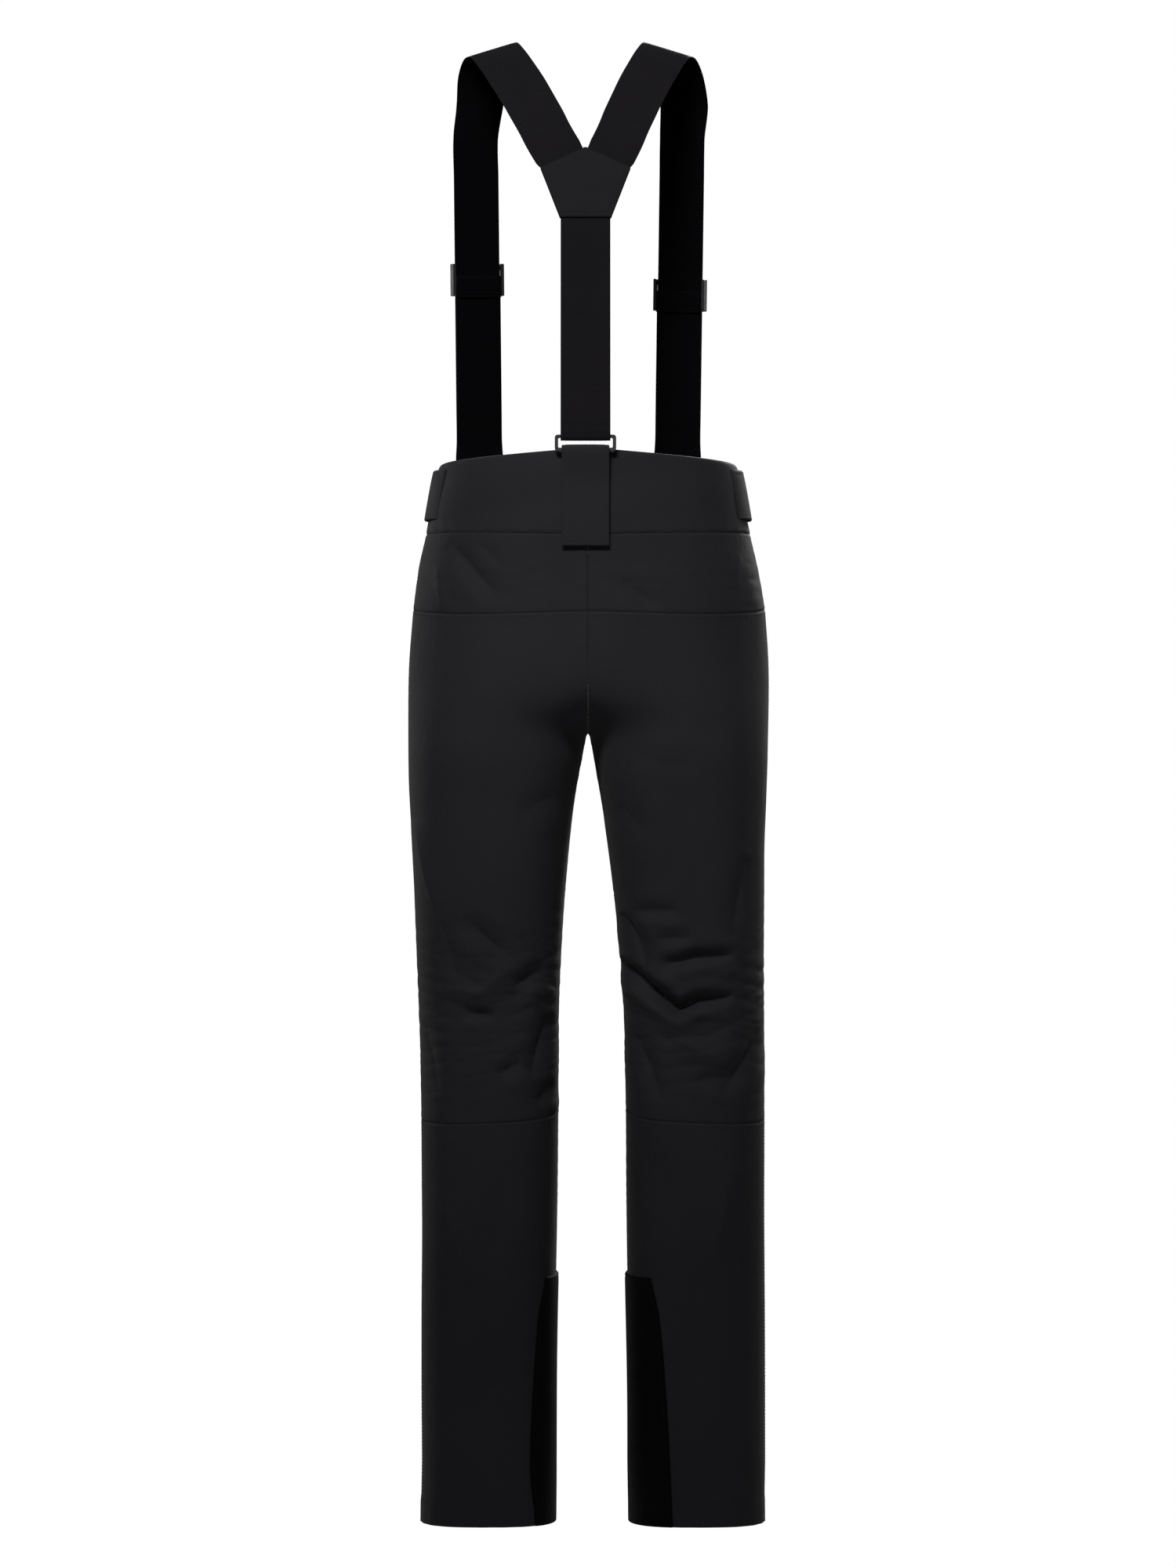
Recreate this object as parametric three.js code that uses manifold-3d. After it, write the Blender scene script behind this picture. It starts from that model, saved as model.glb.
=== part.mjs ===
// Ski pants with detachable braces, in millimetres, +Z up.
// The front of the pants faces -Y and the wearer's left side is +X.
// The origin is the middle of the waist opening, level with the waistband's top edge at the sides.

import * as THREE from 'three';
import { mergeVertices } from 'three/addons/utils/BufferGeometryUtils.js';
import Module from 'manifold-3d';

const wasm = await Module();
wasm.setup();

// ---------------------------------------------------------------- driving dimensions

const GAP = 0.35;            // clearance between touching pieces
const SHELL = 2.4;           // outer fabric with its membrane
const THIN = 1.2;            // lining, hook and loop, folded trim
const STRAP = 1.8;           // elastic webbing
const STRAP_WIDTH = 49.5;
const ARC_STEPS = 20;        // columns in half of the pants, from centre back to centre front

const HEM_Z = -1062.5;
const CROTCH_Z = -271;
const SEAT_Z = -150;         // where the two halves begin to part
const FLY_TOP_Z = -82;
const FLY_BOTTOM_Z = -188;
const KNEE_TOP_Z = -430;
const KNEE_FRONT_Z = -655;
const LINING_TOP_Z = -90;
const GAITER_TOP_Z = -850;
const GAITER_BOTTOM_Z = -1045;
const FLY_SLOT = 7;          // half the width of the slot that the fly zip fills

// Each outline is a list of [height, value] that a smooth monotone curve joins.
const OUTER = outline([[12, 147], [-3, 151.5], [-68, 163.7], [-106, 172], [-154, 178], [-225, 182],
  [-297, 181.6], [-392, 177.6], [-558, 175], [-654, 173.7], [HEM_Z, 173.3]]);
const INSEAM = outline([[CROTCH_Z, 0], [-297, 6.7], [-344, 14.7], [-392, 20.2], [-463, 26.6],
  [-558, 32], [-654, 34], [-815, 36.5], [HEM_Z, 39]]);
const BACK = outline([[12, 108], [-72, 115], [-148, 123], [-215, 126], [CROTCH_Z, 122],
  [-330, 110], [-450, 92], [-560, 80], [-660, 78], [HEM_Z, 77]]);
const BELLY = outline([[12, -106.3], [-80, -111.4], [-190, -117.5], [-240, -119], [CROTCH_Z, -117],
  [-330, -108], [-450, -95], [-560, -88], [-660, -82], [-800, -75], [HEM_Z, -73]]);
const BOXINESS = outline([[12, 2.2], [-148, 2.4], [CROTCH_Z, 2.5], [-450, 2.7], [HEM_Z, 2.8]]);
const LEAN = outline([[-320, 0], [-680, 4.4], [HEM_Z, 4.4]]);

// Seams across a half: share of the way round (0 centre back, 0.5 side, 1 centre front) to height.
const WAIST_TOP = outline([[0, 14.5], [0.25, 7], [0.5, 1], [1, -18]]);
const WAIST_SEAM = outline([[0, -72], [0.5, -68], [1, -79]]);
const YOKE_SEAM = outline([[0, -148.6], [0.24, -151], [0.5, -143.5]]);
const CALF_SEAM = outline([[0, -645], [0.18, -657], [0.35, -660], [0.5, -658]]);

const HARNESS_SHIFT = 2.5;   // the braces hang a little to the wearer's left
const SHOULDER_SHIFT = 8;
const CHEST_SHIFT = 9.2;

const COLOUR = {
  shell: 0x232225, yoke: 0x222124, shin: 0x19191b, guard: 0x060607, lining: 0x1b1b1e,
  webbing: 0x18161a, patch: 0x222224, plastic: 0x2a2a2c, metal: 0x3c3c40, hook: 0x101012,
};

// ---------------------------------------------------------------- curves

// Returns f(x) for a monotone cubic through the points, flat beyond both ends.
function outline(points) {
  const sorted = [...points].sort((a, b) => a[0] - b[0]);
  const slopes = sorted.slice(1).map((p, i) => (p[1] - sorted[i][1]) / (p[0] - sorted[i][0]));
  const tangents = sorted.map((_, i) => {
    if (i === 0) return slopes[0];
    if (i === sorted.length - 1) return slopes[i - 1];
    const product = slopes[i - 1] * slopes[i];
    return product <= 0 ? 0 : 2 * product / (slopes[i - 1] + slopes[i]);
  });
  return (x) => {
    if (x <= sorted[0][0]) return sorted[0][1];
    if (x >= sorted.at(-1)[0]) return sorted.at(-1)[1];
    const i = sorted.findIndex((p) => p[0] > x) - 1;
    const width = sorted[i + 1][0] - sorted[i][0];
    const s = (x - sorted[i][0]) / width;
    const startShare = (1 + 2 * s) * (1 - s) ** 2;
    const endShare = s * s * (3 - 2 * s);
    return startShare * sorted[i][1] + endShare * sorted[i + 1][1]
      + s * (1 - s) ** 2 * width * tangents[i] + s * s * (s - 1) * width * tangents[i + 1];
  };
}

const asFunction = (value) => (typeof value === 'function' ? value : () => value);
const signedPower = (value, power) => Math.sign(value) * Math.abs(value) ** power;

// ---------------------------------------------------------------- body surface

// Inner edge of a half: the inseam below the crotch, an imaginary line beyond x = 0 above it.
function innerEdge(z) {
  if (z <= CROTCH_Z) return INSEAM(z);
  const parted = Math.min(1, Math.max(0, (SEAT_Z - z) / (SEAT_Z - CROTCH_Z)));
  return -OUTER(z) * (1 - parted ** 2.2);
}

const SECTION_SAMPLES = 240;
const sections = new Map();

// Section of a half at height z as points from centre back (or inseam) round the side to the
// front, each with its distance along the cloth, for the wearer's left.
function section(z) {
  const key = z.toFixed(3);
  if (sections.has(key)) return sections.get(key);
  const outer = OUTER(z);
  const inner = innerEdge(z);
  const centre = (outer + inner) / 2;
  const half = (outer - inner) / 2;
  const power = 2 / BOXINESS(z);
  const middle = (BACK(z) + BELLY(z)) / 2;
  const depth = (BACK(z) - BELLY(z)) / 2;
  const reach = Math.max(-1, -centre / half);
  const start = Math.asin(signedPower(inner > 0 ? -1 : reach, 1 / power));
  const points = [];
  let length = 0;
  for (let i = 0; i <= SECTION_SAMPLES; i += 1) {
    const angle = start + (Math.PI - 2 * start) * i / SECTION_SAMPLES;
    const x = centre + half * signedPower(Math.sin(angle), power);
    const y = middle + depth * signedPower(Math.cos(angle), power);
    const previous = points.at(-1);
    if (previous) length += Math.hypot(x - previous.x, y - previous.y);
    points.push({ x, y, length });
  }
  const result = { points, length };
  sections.set(key, result);
  return result;
}

function along(cut, share) {
  const wanted = share * cut.length;
  let i = 1;
  while (i < cut.points.length - 1 && cut.points[i].length < wanted) i += 1;
  const a = cut.points[i - 1];
  const b = cut.points[i];
  const s = (wanted - a.length) / (b.length - a.length || 1);
  return { x: a.x + s * (b.x - a.x), y: a.y + s * (b.y - a.y) };
}

// Point on the cloth: side +1 is the wearer's left, -1 the right. A share below 0 or above 1
// goes on past the inseam. offset is measured outward.
function clothPoint(side, share, z, offset = 0) {
  const cut = section(z);
  const wrapped = z < CROTCH_Z ? share - Math.floor(share) : Math.min(1, Math.max(0, share));
  const step = 0.004;
  const low = Math.max(0, wrapped - step);
  const high = Math.min(1, wrapped + step);
  const here = along(cut, wrapped);
  const before = along(cut, low);
  const after = along(cut, high);
  const run = Math.hypot(after.x - before.x, after.y - before.y);
  const normalX = (before.y - after.y) / run;
  const normalY = (after.x - before.x) / run;
  const x = side * (here.x + normalX * offset) - LEAN(z);
  return new THREE.Vector3(x, here.y + normalY * offset, z);
}

const shareOf = (distance, z) => distance / section(z).length;

// ---------------------------------------------------------------- solids

function geometryOf(vertices, triangles) {
  const geometry = new THREE.BufferGeometry();
  const places = vertices.flatMap((vertex) => vertex.toArray());
  geometry.setAttribute('position', new THREE.Float32BufferAttribute(places, 3));
  geometry.setIndex(signedVolume(vertices, triangles) < 0 ? flipped(triangles) : triangles);
  geometry.computeVertexNormals();
  return geometry;
}

function signedVolume(vertices, triangles) {
  let total = 0;
  for (let i = 0; i < triangles.length; i += 3) {
    const [a, b, c] = triangles.slice(i, i + 3).map((index) => vertices[index]);
    total += a.dot(new THREE.Vector3().crossVectors(b, c));
  }
  return total;
}

function flipped(triangles) {
  const result = [];
  for (let i = 0; i < triangles.length; i += 3) result.push(triangles[i], triangles[i + 2], triangles[i + 1]);
  return result;
}

// Closed sheet between an outer and an inner grid of points, each grid[row][column].
function sheetBetween(outer, inner) {
  const rows = outer.length;
  const columns = outer[0].length;
  const vertices = [...outer.flat(), ...inner.flat()];
  const at = (layer, row, column) => layer * rows * columns + row * columns + column;
  const triangles = [];
  const quad = (a, b, c, d) => triangles.push(a, b, c, a, c, d);
  for (let r = 0; r < rows - 1; r += 1) {
    for (let c = 0; c < columns - 1; c += 1) {
      quad(at(0, r, c), at(0, r + 1, c), at(0, r + 1, c + 1), at(0, r, c + 1));
      quad(at(1, r, c), at(1, r, c + 1), at(1, r + 1, c + 1), at(1, r + 1, c));
    }
    quad(at(0, r, 0), at(1, r, 0), at(1, r + 1, 0), at(0, r + 1, 0));
    const last = columns - 1;
    quad(at(0, r, last), at(0, r + 1, last), at(1, r + 1, last), at(1, r, last));
  }
  for (let c = 0; c < columns - 1; c += 1) {
    quad(at(0, 0, c), at(0, 0, c + 1), at(1, 0, c + 1), at(1, 0, c));
    const last = rows - 1;
    quad(at(0, last, c), at(1, last, c), at(1, last, c + 1), at(0, last, c + 1));
  }
  return geometryOf(vertices, triangles);
}

// Cloth panel of one half. from and to are shares (or functions of height), top and bottom are
// heights (or functions of share), lift is the outer face's distance from the cloth surface (or
// a function of progress across the panel and height). An overlay gives its own even columns.
function panel(side, { from, to, top, bottom, lift = 0, thickness = SHELL, rows, columns }) {
  const [start, end, upper, lower, rise] = [from, to, top, bottom, lift].map(asFunction);
  const middle = (upper(0.5) + lower(0.5)) / 2;
  const shared = sharedColumns(start(middle), end(middle));
  const last = columns ?? shared.length + 1;
  const shareAt = (c, level) => {
    if (c === 0) return start(level);
    if (c === last) return end(level);
    return columns ? start(level) + (end(level) - start(level)) * c / last : shared[c - 1];
  };
  const grid = (inset) => Array.from({ length: rows + 1 }, (_, r) => (
    Array.from({ length: last + 1 }, (_unused, c) => {
      const seamShare = shareAt(c, middle);
      const level = upper(seamShare) + (lower(seamShare) - upper(seamShare)) * r / rows;
      const share = shareAt(c, level);
      const progress = (share - start(level)) / (end(level) - start(level));
      return clothPoint(side, share, level, rise(progress, level) - inset);
    })));
  return sheetBetween(grid(0), grid(thickness));
}

// Columns that all panels share, so that neighbours and layers bend at the same places.
function sharedColumns(start, end) {
  const margin = 0.012;
  const all = Array.from({ length: 3 * ARC_STEPS + 1 }, (_, i) => (i - ARC_STEPS) / ARC_STEPS);
  return all.filter((share) => share > start + margin && share < end - margin);
}

// Panel that crosses the centre back: signed shares run from -reach to reach across it.
function centrePanel({ reach, top, bottom, lift = 0, thickness = SHELL, rows, columns }) {
  const [upper, lower] = [top, bottom].map(asFunction);
  const grid = (offset) => Array.from({ length: rows + 1 }, (_, r) => (
    Array.from({ length: columns + 1 }, (_unused, c) => {
      const signed = reach * (2 * c / columns - 1);
      const share = Math.abs(signed);
      const level = upper(share) + (lower(share) - upper(share)) * r / rows;
      return clothPoint(signed < 0 ? -1 : 1, share, level, offset);
    })));
  return sheetBetween(grid(lift), grid(lift - thickness));
}

// Flat band along stations of { centre, across }, across being half its width as a vector.
function band(stations, thickness) {
  const face = (sign) => stations.map(({ centre, across }, i) => {
    const before = stations[Math.max(0, i - 1)].centre;
    const after = stations[Math.min(stations.length - 1, i + 1)].centre;
    const normal = new THREE.Vector3().subVectors(after, before).cross(across).normalize();
    return [-1, 1].map((edge) => centre.clone().addScaledVector(across, edge)
      .addScaledVector(normal, sign * thickness / 2));
  });
  return sheetBetween(face(1), face(-1));
}

function toManifold(geometry) {
  const bare = geometry.clone();
  for (const name of Object.keys(bare.attributes)) {
    if (name !== 'position') bare.deleteAttribute(name);
  }
  const merged = mergeVertices(bare, 1e-4);
  const mesh = new wasm.Mesh({
    numProp: 3,
    vertProperties: new Float32Array(merged.attributes.position.array),
    triVerts: new Uint32Array(merged.index.array),
  });
  return new wasm.Manifold(mesh);
}

function fromManifold(solid) {
  const mesh = solid.getMesh();
  const geometry = new THREE.BufferGeometry();
  geometry.setAttribute('position', new THREE.BufferAttribute(mesh.vertProperties, 3));
  geometry.setIndex(new THREE.BufferAttribute(mesh.triVerts, 1));
  geometry.computeVertexNormals();
  return geometry;
}

const joined = (geometries) => fromManifold(geometries.map(toManifold).reduce((a, b) => a.add(b)));

function roundedRectangle(width, height, radius, Type = THREE.Shape) {
  const shape = new Type();
  const x = width / 2;
  const y = height / 2;
  shape.moveTo(-x + radius, -y);
  shape.lineTo(x - radius, -y);
  shape.absarc(x - radius, -y + radius, radius, -Math.PI / 2, 0, false);
  shape.lineTo(x, y - radius);
  shape.absarc(x - radius, y - radius, radius, 0, Math.PI / 2, false);
  shape.lineTo(-x + radius, y);
  shape.absarc(-x + radius, y - radius, radius, Math.PI / 2, Math.PI, false);
  shape.lineTo(-x, -y + radius);
  shape.absarc(-x + radius, -y + radius, radius, Math.PI, Math.PI * 1.5, false);
  return shape;
}

// Plate in its own XY plane, centred on its thickness.
function plate(shape, thickness, curveSegments = 4) {
  const geometry = new THREE.ExtrudeGeometry(shape, { depth: thickness, bevelEnabled: false, curveSegments });
  return geometry.translate(0, 0, -thickness / 2);
}

function bar(width, height, thickness, x, y, z) {
  const shape = roundedRectangle(width, height, Math.min(width, height) * 0.3);
  return plate(shape, thickness, 2).translate(x, y, z);
}

// ---------------------------------------------------------------- scene

const pants = new THREE.Group();

const FINISH = {
  fabric: { roughness: 0.85, metalness: 0 },
  plastic: { roughness: 0.45, metalness: 0 },
  metal: { roughness: 0.35, metalness: 0.8 },
};

function addPiece(name, geometry, colour, finish = 'fabric', parent = pants) {
  const material = new THREE.MeshStandardMaterial({ color: COLOUR[colour], ...FINISH[finish] });
  const mesh = new THREE.Mesh(geometry, material);
  mesh.name = name;
  parent.add(mesh);
  return mesh;
}

// Group whose local X, Y and Z are the given directions at the given place.
function holder(origin, across, up) {
  const x = across.clone().normalize();
  const z = new THREE.Vector3().crossVectors(x, up).normalize();
  const y = new THREE.Vector3().crossVectors(z, x);
  const group = new THREE.Group();
  group.quaternion.setFromRotationMatrix(new THREE.Matrix4().makeBasis(x, y, z));
  group.position.copy(origin);
  pants.add(group);
  return group;
}

const bothSides = [{ name: 'left', side: 1 }, { name: 'right', side: -1 }];
const v3 = (x, y, z) => new THREE.Vector3(x, y, z);

// ---------------------------------------------------------------- shell of the pants

const seamGap = (z) => shareOf(GAP / 2, z);
const inseamShare = (z) => seamGap(z);
const outseamBack = (z) => 0.5 - seamGap(z);
const outseamFront = (z) => 0.5 + seamGap(z);
const frontEdge = (z) => 1 - seamGap(z);
const flyEdge = (z) => {
  const parted = Math.min(1, Math.max(0, (z - FLY_BOTTOM_Z + 12) / 10));
  return 1 - shareOf(GAP / 2 + parted * FLY_SLOT, z);
};
const below = (seam) => (share) => asFunction(seam)(share) - GAP / 2;
const above = (seam) => (share) => asFunction(seam)(share) + GAP / 2;

function addShellHalf({ name, side }) {
  const back = { from: inseamShare, to: outseamBack };
  const front = { from: outseamFront, to: frontEdge };
  const kneeTop = above(KNEE_TOP_Z);
  const kneeBottom = above(KNEE_FRONT_Z);
  const cuts = [
    ['back_yoke', 'yoke', { ...back, top: below(WAIST_SEAM), bottom: above(YOKE_SEAM), rows: 3 }],
    ['leg_back', 'shell', { ...back, top: below(YOKE_SEAM), bottom: above(CALF_SEAM), rows: 17 }],
    ['shin_back', 'shin', { ...back, top: below(CALF_SEAM), bottom: HEM_Z, rows: 6 }],
    ['leg_front', 'shell', { ...front, to: flyEdge, top: below(WAIST_SEAM), bottom: kneeTop, rows: 13 }],
    ['knee_panel', 'shell', { ...front, top: below(KNEE_TOP_Z), bottom: kneeBottom, rows: 5 }],
    ['shin_front', 'shin', { ...front, top: below(KNEE_FRONT_Z), bottom: HEM_Z, rows: 6 }],
  ];
  for (const [part, colour, spec] of cuts) {
    addPiece(`${name}_${part}`, panel(side, spec), colour);
  }
}

// Tough patch over the inner ankle. The right leg hangs turned outward, so its patch shows
// further round the back.
const GUARD_TOP_Z = -814;
const GUARD_BACK = {
  left: outline([[GUARD_TOP_Z, 0.112], [-860, 0.137], [-1000, 0.153], [HEM_Z, 0.141]]),
  right: outline([[GUARD_TOP_Z, 0.15], [-855, 0.17], [-959, 0.187], [HEM_Z, 0.196]]),
};
const GUARD_FRONT = { left: 0.14, right: 0.1 };
const GUARD_THICKNESS = 1.4;
const GUARD_LIFT = 3 * GAP + 1.6;   // clear of the flat facets under the patch

function addScuffGuard({ name, side }) {
  addPiece(`${name}_scuff_guard`, panel(side, {
    from: -GUARD_FRONT[name], to: GUARD_BACK[name], top: GUARD_TOP_Z, bottom: HEM_Z,
    lift: GUARD_LIFT, thickness: GUARD_THICKNESS, rows: 4, columns: 14,
  }), 'guard');
}

const GAITER_LIFT = -6;
const ELASTIC = { height: 22, thickness: 1.6 };

// Lining, and the snow gaiter with its gripping elastic inside the hem.
function addInnerHalf({ name, side }) {
  const round = { from: (z) => shareOf(1, z), to: (z) => 1 - shareOf(1, z) };
  // The lining hangs free of the shell where the crotch curves most.
  const liningLift = (_, z) => -(SHELL + 1.8) - 9 * Math.max(0, 1 - Math.abs(z - CROTCH_Z) / 120);
  addPiece(`${name}_leg_lining`, panel(side, {
    ...round, top: LINING_TOP_Z, bottom: GAITER_TOP_Z + 6, lift: liningLift, thickness: THIN, rows: 11,
  }), 'lining');
  addPiece(`${name}_snow_gaiter`, panel(side, {
    ...round, top: GAITER_TOP_Z, bottom: GAITER_BOTTOM_Z, lift: GAITER_LIFT, thickness: THIN, rows: 2,
  }), 'lining');
  addPiece(`${name}_gaiter_elastic`, panel(side, {
    ...round,
    top: GAITER_BOTTOM_Z + ELASTIC.height,
    bottom: GAITER_BOTTOM_Z,
    lift: GAITER_LIFT - THIN - GAP,
    thickness: ELASTIC.thickness,
    rows: 1,
  }), 'webbing');
}

// ---------------------------------------------------------------- waistband

function addWaistband() {
  const bandColumns = 40;
  addPiece('waistband_back', centrePanel({
    reach: 0.5 - seamGap(-30), top: WAIST_TOP, bottom: above(WAIST_SEAM), rows: 3, columns: bandColumns / 2,
  }), 'yoke');
  for (const { name, side } of bothSides) {
    addPiece(`waistband_front_${name}`, panel(side, {
      from: outseamFront, to: frontEdge, top: WAIST_TOP, bottom: above(WAIST_SEAM), rows: 3,
    }), 'yoke');
  }
  addPiece('waistband_lining', centrePanel({
    reach: 0.995, top: (share) => WAIST_TOP(share) - 3, bottom: (share) => WAIST_SEAM(share) + 2,
    lift: -(SHELL + 0.6), thickness: 2, rows: 2, columns: bandColumns,
  }), 'lining');
}

// Hook-and-loop tab that draws the waist in, sewn down at its rear edge.
const TAB = { from: 0.393, to: 0.63, top: -4, bottom: -54, lift: 4.9, thickness: 1.9 };

function addWaistTab({ name, side }) {
  const across = (start, end) => (f) => start + (end - start) * Math.min(1, f * 3);
  addPiece(`${name}_waist_tab`, panel(side, { ...TAB, lift: across(3.4, TAB.lift), rows: 2 }), 'yoke');
  addPiece(`${name}_waist_tab_hook`, panel(side, {
    from: 0.55, to: TAB.to - 0.012, top: TAB.top - 6, bottom: TAB.bottom + 6,
    lift: TAB.lift - TAB.thickness - GAP, thickness: THIN, rows: 1,
  }), 'hook');
}

// ---------------------------------------------------------------- fly

const PULL_THICKNESS = 1;
const FLY = {
  chainLift: -0.4, chainThickness: 1.5,
  slider: { width: 9, length: 12, thickness: 2.4, lift: 1.6 },
  flapThickness: 1.8, flapRise: 4.2,   // the flap rises over the slider and its pull
};
const OVERLAP = { thickness: 1.9, rise: 2.4 };

// Box-like strip over the centre front between two distances from the middle, in X.
function frontStrip({ fromX, toX, top, bottom, lift, thickness, rows, columns }) {
  const rise = asFunction(lift);
  const grid = (inset) => Array.from({ length: rows + 1 }, (_, r) => (
    Array.from({ length: columns + 1 }, (_unused, c) => {
      const x = fromX + (toX - fromX) * c / columns;
      const z = top + (bottom - top) * r / rows;
      const side = x < 0 ? -1 : 1;
      return clothPoint(side, 1 - shareOf(Math.abs(x), z), z, rise(c / columns) - inset);
    })));
  return sheetBetween(grid(0), grid(thickness));
}

// Zip slider body and its pull, in a local frame: X across, Y up the zip, Z outward.
function sliderBody(width, length, thickness) {
  const shape = new THREE.Shape();
  shape.moveTo(-width * 0.3, -length / 2);
  shape.lineTo(width * 0.3, -length / 2);
  shape.quadraticCurveTo(width * 0.5, -length * 0.1, width * 0.5, length * 0.25);
  shape.quadraticCurveTo(width * 0.5, length * 0.5, width * 0.3, length / 2);
  shape.lineTo(-width * 0.3, length / 2);
  shape.quadraticCurveTo(-width * 0.5, length * 0.5, -width * 0.5, length * 0.25);
  shape.quadraticCurveTo(-width * 0.5, -length * 0.1, -width * 0.3, -length / 2);
  return plate(shape, thickness, 3);
}

function pullTab(width, length, thickness) {
  const shape = roundedRectangle(width, length, width * 0.35);
  shape.holes.push(roundedRectangle(width * 0.45, length * 0.22, width * 0.15, THREE.Path));
  return plate(shape, thickness, 2).translate(0, -length / 2, 0);
}

function addFly() {
  addPiece('fly_zip_chain', frontStrip({
    fromX: -FLY_SLOT + GAP, toX: FLY_SLOT - GAP, top: FLY_TOP_Z, bottom: FLY_BOTTOM_Z + 1,
    lift: FLY.chainLift, thickness: FLY.chainThickness, rows: 4, columns: 2,
  }), 'webbing');
  const { slider } = FLY;
  const top = clothPoint(1, 1, FLY_TOP_Z - slider.length);
  const bottom = clothPoint(1, 1, FLY_BOTTOM_Z);
  const zip = holder(top, v3(1, 0, 0), top.clone().sub(bottom));
  const body = sliderBody(slider.width, slider.length, slider.thickness);
  addPiece('fly_zip_slider', body, 'metal', 'metal', zip).position.z = slider.lift;
  const pull = addPiece('fly_zip_pull', pullTab(6, 22, PULL_THICKNESS), 'metal', 'metal', zip);
  const pullLift = slider.lift + slider.thickness / 2 + GAP + PULL_THICKNESS / 2;
  pull.position.set(0, -slider.length * 0.2, pullLift);
  addPiece('fly_flap', frontStrip({
    fromX: 26, toX: -20, top: FLY_TOP_Z - 1, bottom: FLY_BOTTOM_Z - 30,
    lift: (f) => GAP + FLY.flapThickness + FLY.flapRise * Math.min(1, f * 3.2),
    thickness: FLY.flapThickness, rows: 3, columns: 8,
  }), 'shell');
}

const SNAP = {
  stud: { radius: 5.5, height: 1.4 },
  cap: { radius: 7, height: 1.6 },
  capSeat: OVERLAP.thickness + OVERLAP.rise + 3 * GAP,   // just above the overlap's outer face
};

function disc({ radius, height }) {
  return new THREE.CylinderGeometry(radius, radius * 1.05, height, 16).rotateX(Math.PI / 2);
}

// Overlapping end of the waistband, closed by two press studs.
function addWaistOverlap() {
  const overlap = { fromX: 36, toX: -32, top: -20, bottom: -76, columns: 6, rows: 2 };
  addPiece('waist_overlap_tab', frontStrip({
    ...overlap, thickness: OVERLAP.thickness,
    lift: (f) => GAP + OVERLAP.thickness + OVERLAP.rise * Math.min(1, f * 3),
  }), 'yoke');
  const studX = -14;
  [['upper', -36], ['lower', -60]].forEach(([place, z]) => {
    const seat = clothPoint(-1, 1 - shareOf(-studX, z), z);
    const outward = clothPoint(-1, 1 - shareOf(-studX, z), z, 1).sub(seat);
    const stud = holder(seat, v3(1, 0, 0), outward.clone().cross(v3(1, 0, 0)));
    const base = addPiece(`snap_stud_${place}`, disc(SNAP.stud), 'metal', 'metal', stud);
    base.position.z = GAP + SNAP.stud.height / 2;
    const cap = addPiece(`snap_cap_${place}`, disc(SNAP.cap), 'metal', 'metal', stud);
    cap.position.z = SNAP.capSeat + SNAP.cap.height / 2;
  });
}

// ---------------------------------------------------------------- hand pockets

const POCKET = {
  share: 0.69, top: -96, bottom: -236, chainWidth: 9, chainThickness: 1.1,
  slider: { width: 8, length: 11, thickness: 2.2, seat: 3.1 },   // seat: underside, above the cloth
};

function addHandPocket({ name, side }) {
  const { slider, chainThickness } = POCKET;
  const halfShare = (z) => shareOf(POCKET.chainWidth / 2, z);
  addPiece(`${name}_pocket_zip_chain`, panel(side, {
    from: (z) => POCKET.share - halfShare(z), to: (z) => POCKET.share + halfShare(z),
    top: POCKET.top, bottom: POCKET.bottom, lift: GAP + chainThickness, thickness: chainThickness, rows: 6,
  }), 'webbing');
  const start = clothPoint(side, POCKET.share, POCKET.top - 9);
  const end = clothPoint(side, POCKET.share, POCKET.bottom + 9);
  const ahead = clothPoint(side, POCKET.share - 0.01 * side, POCKET.top - 9);
  const across = ahead.sub(start);
  const zip = holder(start, across, start.clone().sub(end));
  const body = addPiece(`${name}_pocket_zip_slider`,
    sliderBody(slider.width, slider.length, slider.thickness), 'metal', 'metal', zip);
  body.position.z = slider.seat + slider.thickness / 2;
  const pull = addPiece(`${name}_pocket_zip_pull`, pullTab(6, 24, PULL_THICKNESS), 'metal', 'metal', zip);
  pull.position.set(0, -1.5, slider.seat + slider.thickness + GAP + PULL_THICKNESS / 2);
}

// ---------------------------------------------------------------- braces: rear

const RING = { width: 61, height: 16.4, bar: 3.4, thickness: 3 };
const REAR = { ringZ: 18.5, ringY: 113.5, patchTopZ: 316, patchTopY: 74, patchBottomZ: 244, patchBottomY: 92 };

function ringGeometry(width, height, barWidth, thickness) {
  const shape = roundedRectangle(width, height, 3);
  shape.holes.push(roundedRectangle(width - 2 * barWidth, height - 2 * barWidth, 1.2, THREE.Path));
  return plate(shape, thickness, 3);
}

// Stations of a strap path in the YZ plane, with an arc over a bar where hook is given.
function hookedPath(x, halfWidth, straight, hook) {
  const { y, z, radius, fromAngle, toAngle, steps } = hook;
  const arc = Array.from({ length: steps + 1 }, (_, i) => {
    const angle = fromAngle + (toAngle - fromAngle) * i / steps;
    return [y + radius * Math.cos(angle), z + radius * Math.sin(angle)];
  });
  return [...straight, ...arc, ...(hook.tail ?? [])]
    .map(([py, pz]) => ({ centre: v3(x, py, pz), across: v3(halfWidth, 0, 0) }));
}

const FLAP = { bottomZ: -84, halfWidth: 23.7, thickness: 2, lift: 6 };

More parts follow.
